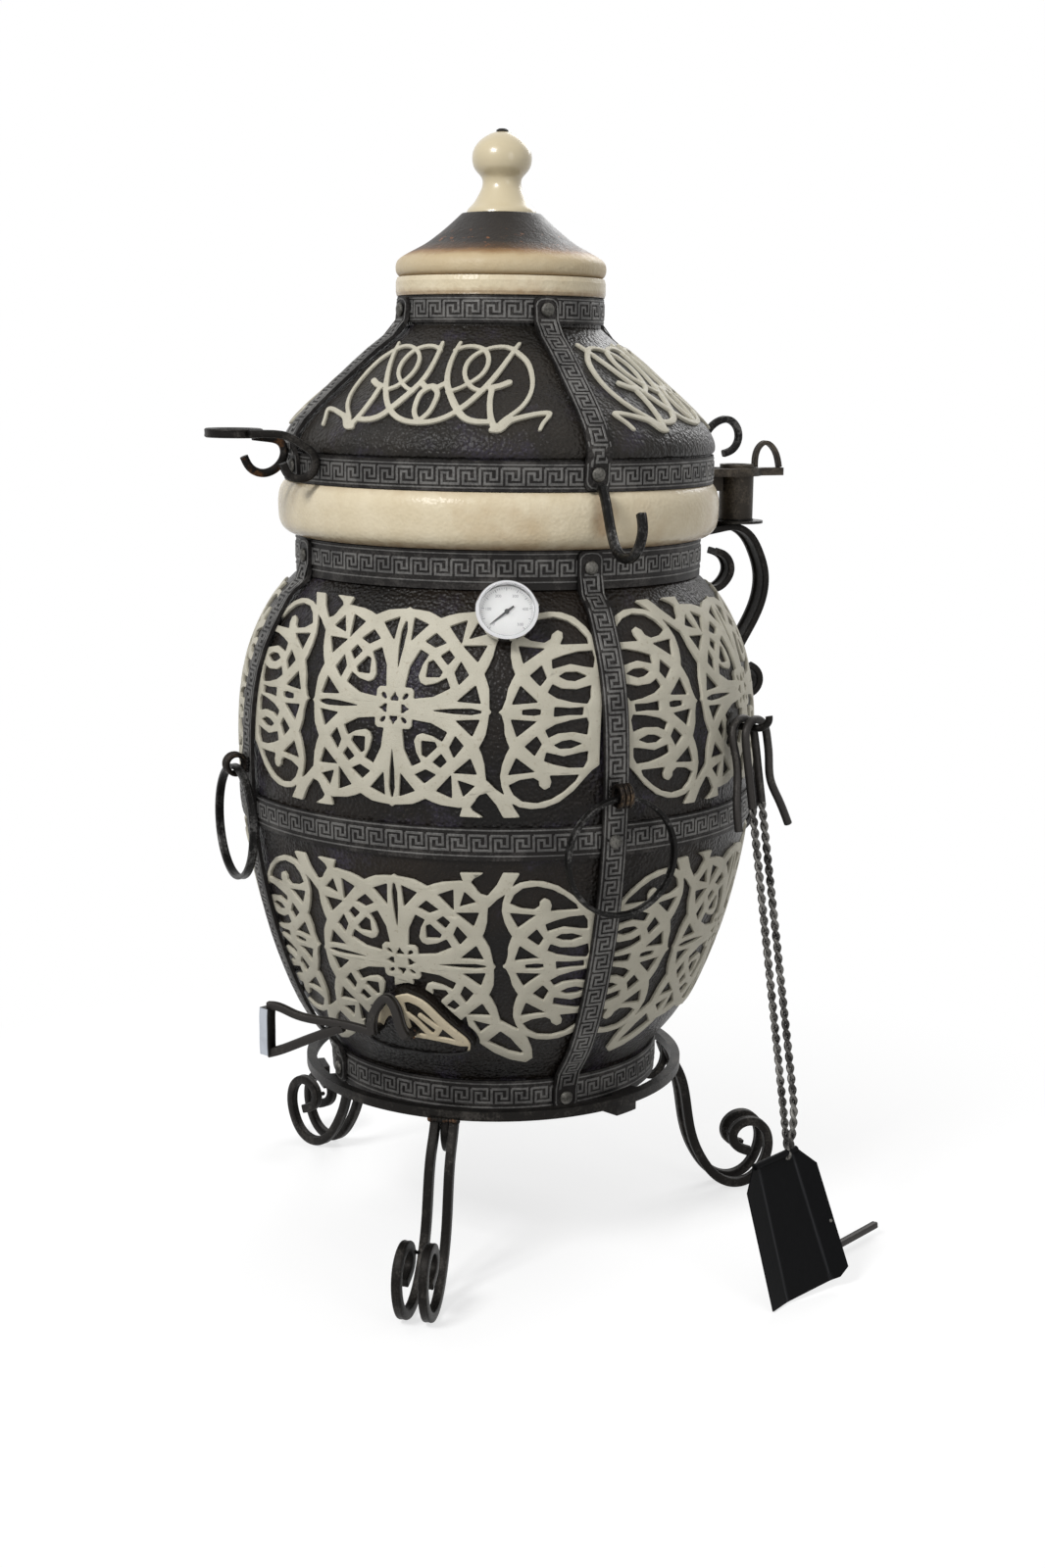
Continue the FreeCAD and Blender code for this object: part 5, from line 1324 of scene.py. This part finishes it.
def hooks():
    """The dome's two hooks, and the side handle's hook, scroll and loop."""
    for name, line, az, d, girth in (("front_hook", FRONT, 45, 9.1, (1, 1.1, 1.1, 1.1, 1)),
                                     ("rear_hook", REAR, 135, 8.3, (1, 1.15, 1.3, 1.3, 1.2))):
        piece = swept(name + "_forged", [upright(line, az, count=90, girth=girth)],
                      channelled(d, d, 2.6, 0.6, 2.4), ring_iron)
        settled(piece, "dome", "forged_iron", name)
    piece = swept("side_hook_forged", [upright(SIDE_HOOK, HANDLE_AZ, count=80)], round_bar(9), weld_iron)
    settled(piece, "dome", "forged_iron", "side_hook")
    piece = swept("side_scroll_forged", [upright(SCROLL, HANDLE_AZ, 55.3, count=90, girth=(1, 1, 1, 0.85))],
                  channelled(9, 8, 2.2, 0.6, 1.8))
    settled(piece, "dome", "forged_iron", "side_scroll")
    out, across = polar(1, HANDLE_AZ), polar(0, HANDLE_AZ, 0, 1)
    centre = polar(0.311, HANDLE_AZ, 0.909, 0.020)
    piece = swept("side_loop_forged", [hoop(centre, out, across, 26)], channelled(9.6, 8.6, 2.4, 0.4, 2.2))
    settled(piece, "dome", "forged_iron", "side_loop")


def rings():
    """Each quarter's eye of three coils, with beads of weld at its back, and the ring that hangs in it."""
    up = Vector((0, 0, 1))
    for k, az in enumerate(STRAP_AZ, 1):
        out, across = polar(1, az), polar(0, az, 0, 1)
        eye = polar(EYE_RHO * MM, az, EYE_Z * MM)
        coils = [hoop(eye + across * t * MM, out, up, 10.45, 40) for t in (-5.4, 0, 5.4)]
        body = swept("eye_%d_coils" % k, coils, round_bar(5.2, 12), eye_iron)
        spots = [eye - out * 0.0112 + across * t * MM + up * z * MM
                 for t in (-8, 8) for z in (-7, -3.5, 0, 3.5, 7)]
        beads = weld("eye_%d_weld" % k, spots, 2.1, 11 + k)
        settled(merged("eye_%d_forged" % k, [body, beads]), POT, "forged_iron", "eye_%d" % k)
        middle = polar(EYE_RHO * MM, az, (EYE_Z - RING_DROP) * MM)
        ring = swept("ring_%d_forged" % k, [hoop(middle, across, up, 60.6, 120)],
                     channelled(9.5, 4.8, 2.6, 0.35, 1.4), ring_iron)
        settled(ring, "carry_ring_%d" % k, "forged_iron", "ring_%d" % k)


# ---------------------------------------------------------------- fire tools
CROOK_R, BAR_D, WIRE_D = 19.0, 9.0, 4.6
HOOK_AZ, HOOK_Z, LIP_AZ = 80.5, 615.7, 67.4


def tool_frame(rho, foot):
    """The tool's own frame, in millimetres: y runs up from its foot to the crook, x along the pan's lip."""
    top = polar(rho, HOOK_AZ, HOOK_Z)
    up = (top - foot).normalized()
    a = math.radians(LIP_AZ)
    out = Vector((math.cos(a), math.sin(a), 0)).cross(up).normalized()
    lip = up.cross(out).normalized()
    m = Matrix((lip, up, out)).transposed().to_4x4()
    m.translation = foot
    return m, (top - foot).length


def in_tool(m, points, count, girth=(1, 1)):
    """A smooth run through (x, y) points of a tool's own frame."""
    return [m @ Vector((x, y, 0)) * MM for x, y in smooth(points, count)], m.col[2].xyz, girth, False


def crook_line(length, tail, flip):
    """The handle's run up from the twist, over the hook and down to its tail, flip to either side."""
    r = CROOK_R
    line = [(r * flip, length - 92), (r * flip, length - 58), (r * flip, length - r - 4)]
    line += [(r * flip * math.cos(a), length - r + r * math.sin(a)) for a in np.radians(range(30, 180, 30))]
    return line + [(-r * flip, length - r - 6)] + [(flip * (dx - r), length - dy) for dx, dy in tail]


def twisted(m, x, low, high, shift=(0, 0), wires=2, turn=24.0, reach=2.35):
    """Paths of wires twisted round each other, drawn together at both ends and bent by shift at the foot."""
    runs = []
    for w in range(wires):
        points = []
        for y in np.linspace(low, high, int((high - low) / 2.2)):
            a = 2 * math.pi * (y / turn + w / wires)
            r = reach * min(1.0, (y - low) / 9 + 0.35, (high - y) / 9 + 0.35)
            bend = max(0.0, 1 - (y - low) / 70) ** 2
            points.append(m @ Vector((x + shift[0] * bend + r * math.cos(a), y,
                                      shift[1] * bend + r * math.sin(a))) * MM)
        runs.append((points, m.col[2].xyz, (1, 1), False))
    return runs


SCOOP_TAIL = [(2, 40), (0, 66), (-6, 92), (-7, 118)]
POKER_TAIL = [(0, 40), (2, 66), (-9, 92), (-22, 122)]
TOE = [(0, 68), (0, 40), (0.6, 16), (5, 4), (16, 0.6), (40, 1.2), (95, 0), (150, -3)]
SCOOP_BEADS = ((-15, 154, -5.5), (-11, 153, -7), (-19, 153, -7))


def tools():
    """The scoop and the poker, which hang by their crooks from the hook on the belly."""
    scoop, scoop_len = tool_frame(300.5, polar(410, 76))
    poker, poker_len = tool_frame(315, polar(392, 84.8, 6))
    taper = (0.95, 1, 1, 1, 1, 0.95, 0.85)
    crook = swept("scoop_crook", [in_tool(scoop, crook_line(scoop_len, SCOOP_TAIL, 1), 110, taper)],
                  round_bar(BAR_D), tool_iron)
    shaft = swept("scoop_twist", twisted(scoop, CROOK_R, 146, scoop_len - 86, (-15, -6)),
                  round_bar(WIRE_D, 10), twist_iron)
    beads = weld("scoop_weld", [scoop @ Vector((CROOK_R + dx, y, dz)) * MM for dx, y, dz in
                                SCOOP_BEADS + ((0, scoop_len - 90, 0),)], 3.3, 23)
    settled(merged("scoop_handle", [crook, shaft, beads]), "scoop", "forged_iron", "scoop_shaft")
    crook = swept("poker_crook", [in_tool(poker, crook_line(poker_len, POKER_TAIL, -1), 110, taper)],
                  round_bar(BAR_D), tool_iron)
    shaft = swept("poker_twist", twisted(poker, -CROOK_R, 62, poker_len - 86),
                  round_bar(WIRE_D, 10), twist_iron)
    toe = swept("poker_toe", [in_tool(poker, [(x - CROOK_R, y) for x, y in TOE], 70, (1, 1, 1, 1, 0.9))],
                channelled(7.6, 7.6, 2, 0.3, 1.6), tool_iron)
    beads = weld("poker_weld", [poker @ Vector((-CROOK_R, y, 0)) * MM for y in (65, poker_len - 90)], 3.3, 29)
    settled(merged("poker_forged", [crook, shaft, toe, beads]), "poker", "forged_iron", "poker")
    scoop_sheet(scoop)


# The pan's set on its shaft: turns in degrees about its length, its face and its lip, then a shift.
PAN_TURNS = ((-10.5, "Y"), (5.2, "Z"), (-6.8, "X"))
PAN_SHIFT, PAN_LONG = Vector((-12.5, 2.9, -10.8)), 150.0
# Half its floor's width at the foot and at the edge, each flange's width and slope, its sheet and corner cut.
PAN_FOLD = (33.0, 25.2)
PAN_FLANGE = {-1: (28.0, 14.0), 1: (24.3, 20.4)}
PAN_THICK, PAN_CORNER = 1.5, 127.6


def scoop_sheet(m):
    """A pan folded up along both sides, cut back at its corners and closed by a rolled edge."""
    turn = Matrix.Identity(4)
    for degrees, axis in PAN_TURNS:
        turn = turn @ Matrix.Rotation(math.radians(degrees), 4, axis)
    pivot = Vector((0, PAN_LONG, 0))
    put = m @ Matrix.Translation(pivot + PAN_SHIFT) @ turn @ Matrix.Translation(-pivot)
    verts, fold_highlight, faces = [], [], []
    across = np.linspace(-1, 1, 67)
    up = np.r_[0, 2.6, 5.3, 8, np.linspace(12, PAN_CORNER, 26), np.linspace(PAN_CORNER + 3, PAN_LONG, 7)]
    for y in up:
        fold = PAN_FOLD[0] + (PAN_FOLD[1] - PAN_FOLD[0]) * y / PAN_LONG
        for s in across:
            side = 1 if s >= 0 else -1
            wide, slope = PAN_FLANGE[side]
            wide = np.interp(y, [PAN_CORNER, PAN_LONG], [wide, 7.0])
            if side > 0:
                wide = min(wide, 12 + y * 1.55)
            run = abs(s) * (fold + wide) - fold
            soft = 0.5 * (run + math.sqrt(run * run + 4)) - 0.05
            a = math.radians(slope)
            x = side * (fold + run - soft * (1 - math.cos(a)))
            verts.append(put @ Vector((x, y, soft * math.sin(a))) * MM)
            # Each point's share of the painted highlight along the fold lines.
            fold_highlight.append(math.exp(-(run / 1.2) ** 2))
    n = len(across)
    for j in range(len(up) - 1):
        for i in range(n - 1):
            k = j * n + i
            faces.append((k, k + 1, k + n + 1, k + n))
    mesh = bpy.data.meshes.new("pan_sheet")
    mesh.from_pydata([tuple(v) for v in verts], [], faces)
    # The fold attribute carries the painted highlight to the sheet's finish.
    mesh.attributes.new("fold", "FLOAT", "POINT").data.foreach_set("value", fold_highlight)
    mesh.materials.append(sheet_iron)
    sheet = link("pan_sheet", mesh)
    wall = sheet.modifiers.new("wall", "SOLIDIFY")
    wall.thickness, wall.offset = PAN_THICK * MM, 0.0
    walls = link("pan_walls", baked(sheet))
    dropped(sheet)
    shaded(walls.data, 50)
    roll = swept("pan_roll", [([put @ Vector((x, PAN_LONG - 1, 2.2)) * MM for x in np.linspace(-31, 31, 20)],
                               m.col[2].xyz, (0.8, 1, 1, 1, 0.8), False)], round_bar(7.5, 12), sheet_iron)
    rivet = weld("pan_rivet", [put @ Vector((PAN_FOLD[0] + 16, 62, 6.6)) * MM], 2.6, 5, rivet_iron)
    settled(merged("pan_folded", [walls, roll, rivet]), "scoop", "black_sheet", "scoop_pan")


# ---------------------------------------------------------------- vent handle and dial
# The folded handle stands in the plane y = HANDLE_Y, on two feet at the same height.
HANDLE_Y, FOOT_X, FOOT_Z = -262.0, (-39, 1), 291
GRIP_SIDE = Vector((0.94, -0.342, 0))
# The handle's bars, as (x, z).
ARCH = [(-38, 290), (-38.5, 300), (-35, 315), (-21, 330.5), (-10.5, 317), (-5, 300), (1, 290)]
UPPER_ARM = [(-37, 291), (-60, 294.5), (-95, 296.5), (-130, 300.5), (-152, 306.5), (-160, 306)]
LOWER_ARM = [(-72, 292), (-92, 283.5), (-125, 268), (-150, 256.5), (-160, 253)]
GRIP = [(-160.5, 252.5), (-161, 262), (-161, 279), (-161, 296), (-160.5, 304)]


def at_handle(points, count, girth=(1, 1), side=Vector((0, 1, 0))):
    """A smooth run through (x, z) points in the handle's plane."""
    return [Vector((x, HANDLE_Y, z)) * MM for x, z in smooth(points, count)], side, girth, False


def vent_handle():
    """The plug's folded handle: an arch over its feet, two arms and the grip at their ends."""
    arch = swept("arch", [at_handle(ARCH, 60, (1.1, 1.15, 1.05, 0.85, 0.7))],
                 channelled(12, 9, 3.4, 1.2, 1.6), tool_iron)
    upper = swept("upper_arm", [at_handle(UPPER_ARM, 50, (0.7, 0.8, 0.95, 1, 1.25))],
                  channelled(8, 9, 2.2, 0.4, 2.2), tool_iron)
    lower = swept("lower_arm", [at_handle(LOWER_ARM, 40, (0.75, 0.95, 1.05, 1))],
                  channelled(8, 10, 2.2, 0.4, 2.2), tool_iron)
    grip = swept("grip", [at_handle(GRIP, 30, side=GRIP_SIDE)], channelled(12.5, 14, 2.4, 0.3, 1.8),
                 grip_steel)
    runs = [([Vector((x, HANDLE_Y + y, FOOT_Z)) * MM for y in (-1, 12, 31)], Vector((0, 0, 1)), (1, 1), False)
            for x in FOOT_X]
    feet = swept("handle_feet", runs, round_bar(9.4), tool_iron)
    collars = [Vector((x + 5.4 * math.cos(a), HANDLE_Y + 9.5, FOOT_Z + 5.4 * math.sin(a))) * MM
               for x in FOOT_X for a in np.radians(range(0, 360, 40))]
    beads = weld("handle_weld", collars, 1.7, 31)
    whole = merged("handle_forged", [arch, upper, lower, grip, feet, beads])
    settled(whole, "vent", "forged_iron", "vent_handle")


# The dial: its azimuth and tip, where its numbers start, how far they sweep, and their circle in millimetres.
GAUGE_AZ, GAUGE_TILT = 22.5, math.radians(27)
DIAL_START, DIAL_SWEEP, NUMBER_R = 225, 270, 18.8


def gauge_frame():
    """Local x to the dial's right, y up the dial and z out through the glass."""
    out = polar(math.cos(GAUGE_TILT), GAUGE_AZ, math.sin(GAUGE_TILT))
    right = polar(0, GAUGE_AZ, 0, 1)
    m = Matrix((right, out.cross(right), out)).transposed().to_4x4()
    m.translation = polar(0.2475, GAUGE_AZ, 0.733)
    return m


def spokes_tree():
    """One mark turned about the dial's middle, again and again."""
    g = Nodes("spokes", {"Count": "Int", "Step": "Float", "First": "Float", "Finish": "Material"})
    return g.finish(g.about_axis(g.of("Geometry"), g.of("Count"), g.of("Step"), g.of("First")))


def dial():
    """Fine and main ticks, and a number at every second main tick."""
    tree, marks = spokes_tree(), []
    for name, count, low, high, half in (("fine", 51, 24.2, 26.0, 0.16), ("main", 11, 22.8, 26.0, 0.32)):
        tick = ribbon(name + "_tick", [[(low, 0), (high, 0)]], half, 0.12, sink=0.02, edge=0.03)
        marks.append(grown(name + "_ticks", tick, tree, {
            "Count": count, "Step": -math.radians(DIAL_SWEEP / (count - 1)),
            "First": math.radians(DIAL_START), "Finish": dial_ink}))
        dropped(tick)
    for k in range(0, 11, 2):
        a = math.radians(DIAL_START - DIAL_SWEEP / 10 * k)
        text = bpy.data.curves.new("number_%d" % k, "FONT")
        text.body, text.size, text.align_x, text.align_y = str(k * 50), 4.2 * MM, "CENTER", "CENTER"
        text.extrude = 0.06 * MM
        obj = link("number_%d" % k, text)
        mesh = baked(obj)
        dropped(obj)
        place = Vector((NUMBER_R * math.cos(a), NUMBER_R * math.sin(a), 0.08)) * MM
        mesh.transform(Matrix.Translation(place))
        mesh.materials.clear()
        mesh.materials.append(dial_ink)
        marks.append(link("number_mesh_%d" % k, mesh))
    piece = merged("dial_marks", marks)
    piece.data.transform(gauge_frame() @ Matrix.Translation((0, 0, 0.013)))
    settled(piece, POT, "black_paint")


pot_knotwork()
dome_knotwork()
band_courses()
strap_courses()
rivets()
cap_and_knob()
stand()
hinge()
hooks()
rings()
tools()
vent_handle()
dial()

# ---------------------------------------------------------------- floor, light and camera
SEEN_BY = ("Camera", "Glossy", "Transmission")


FLOOR_HALF, FLOOR_GREY, FLOOR_LIFT, WHITE_FROM = 9.0, 0.4, 0.66, 0.75


def seen_directly(tree):
    """1 for rays that the eye sends out, or gets by way of a mirror or glass, and 0 for all others."""
    camera_ray, *others = (shader_node(tree, "LightPath", {}, {}, "Is %s Ray" % kind) for kind in SEEN_BY)
    return camera_ray.high(others[0]).high(others[1])


def stage():
    """A wide white floor: what the eye sees of it is white but for the object's own soft shadow."""
    m = Finish("floor", Roughness=0.9, Specular_IOR_Level=0.0, Base_Color=(FLOOR_GREY,) * 3)
    grey = Val(m.tree, m.bsdf.outputs[0])
    lit = m.node("AddShader", {}, {0: grey, 1: m.node("Emission", {}, {"Strength": FLOOR_LIFT})})
    seen, far = seen_directly(m.tree), m.vector("LENGTH", m.point, output="Value").above(WHITE_FROM, 0.5)
    shade = m.node("MixShader", {}, {0: seen, 1: grey, 2: lit})
    shade = m.node("MixShader", {}, {0: seen * far, 1: shade, 2: m.node("Emission", {}, {})})
    plug(m.tree, m.out.inputs[0], shade)
    mesh = bpy.data.meshes.new("floor")
    s = FLOOR_HALF
    mesh.from_pydata([(-s, -s, 0), (s, -s, 0), (s, s, 0), (-s, s, 0)], [], [(0, 1, 2, 3)])
    mesh.materials.append(m.mat)
    link("floor", mesh)


# Each lamp's place, what it faces, its size and its power.
LAMPS = {
    "key": ((-0.8, -2.8, 3.0), (0, 0, 0.6), (1.0, 0.9), 88),
    "fill": ((2.7, -1.9, 1.5), (0, 0, 0.6), (0.9, 1.8), 12),
    "back": ((0.4, 2.8, 2.6), (0, 0, 0.8), (2.0, 1.6), 40),
}


def lamp(name, place, aim, size, power):
    """A soft rectangular lamp that faces aim."""
    data = bpy.data.lights.new(name, "AREA")
    data.shape = "RECTANGLE"
    data.size, data.size_y = size
    data.energy = power
    obj = link(name, data)
    obj.location = place
    obj.rotation_euler = (Vector(aim) - Vector(place)).to_track_quat("-Z", "Y").to_euler()


def lights():
    """The lamps in a white world, which counts half except where the eye sees it."""
    for name, (place, aim, size, power) in LAMPS.items():
        lamp(name, place, aim, size, power)
    world = bpy.data.worlds.new("studio")
    bpy.context.scene.world = world
    world.use_nodes = True
    tree = world.node_tree
    back = tree.nodes["Background"]
    level = shader_node(tree, "MapRange", {}, {"Value": seen_directly(tree), "To Min": 0.5, "To Max": 1.0})
    plug(tree, back.inputs["Strength"], level)
    plug(tree, back.inputs["Color"], (1, 1, 1))


# The eye's place (out, azimuth, up), its turns in degrees, and its lens as a share of the frame's height.
EYE_OUT, EYE_AZ, EYE_UP = 2.361, 20.5, 0.981
EYE_YAW, EYE_DOWN, EYE_ROLL = 0.73, 11.22, 0.69
SENSOR, LENS = 36, 2153.8 / 1600


def camera():
    """An eye that faces the axis, turned a little aside, tipped down and rolled."""
    data = bpy.data.cameras.new("camera")
    data.sensor_fit = "VERTICAL"
    data.sensor_height = SENSOR
    data.lens = SENSOR * LENS
    obj = link("camera", data)
    a, yaw, down, roll = (math.radians(v) for v in (EYE_AZ, EYE_YAW, EYE_DOWN, EYE_ROLL))
    fwd = Vector((-math.sin(a), math.cos(a), 0))
    right = Vector((math.cos(a), math.sin(a), 0))
    level = fwd * math.cos(yaw) + right * math.sin(yaw)
    right = right * math.cos(yaw) - fwd * math.sin(yaw)
    look = level * math.cos(down) - Vector((0, 0, 1)) * math.sin(down)
    up = right.cross(look)
    turn = Matrix((right, up, -look)).transposed() @ Matrix.Rotation(roll, 3, "Z")
    obj.matrix_world = Matrix.Translation(polar(EYE_OUT, EYE_AZ, EYE_UP)) @ turn.to_4x4()
    bpy.context.scene.camera = obj


stage()
lights()
camera()
bpy.context.scene.view_settings.view_transform = "Standard"
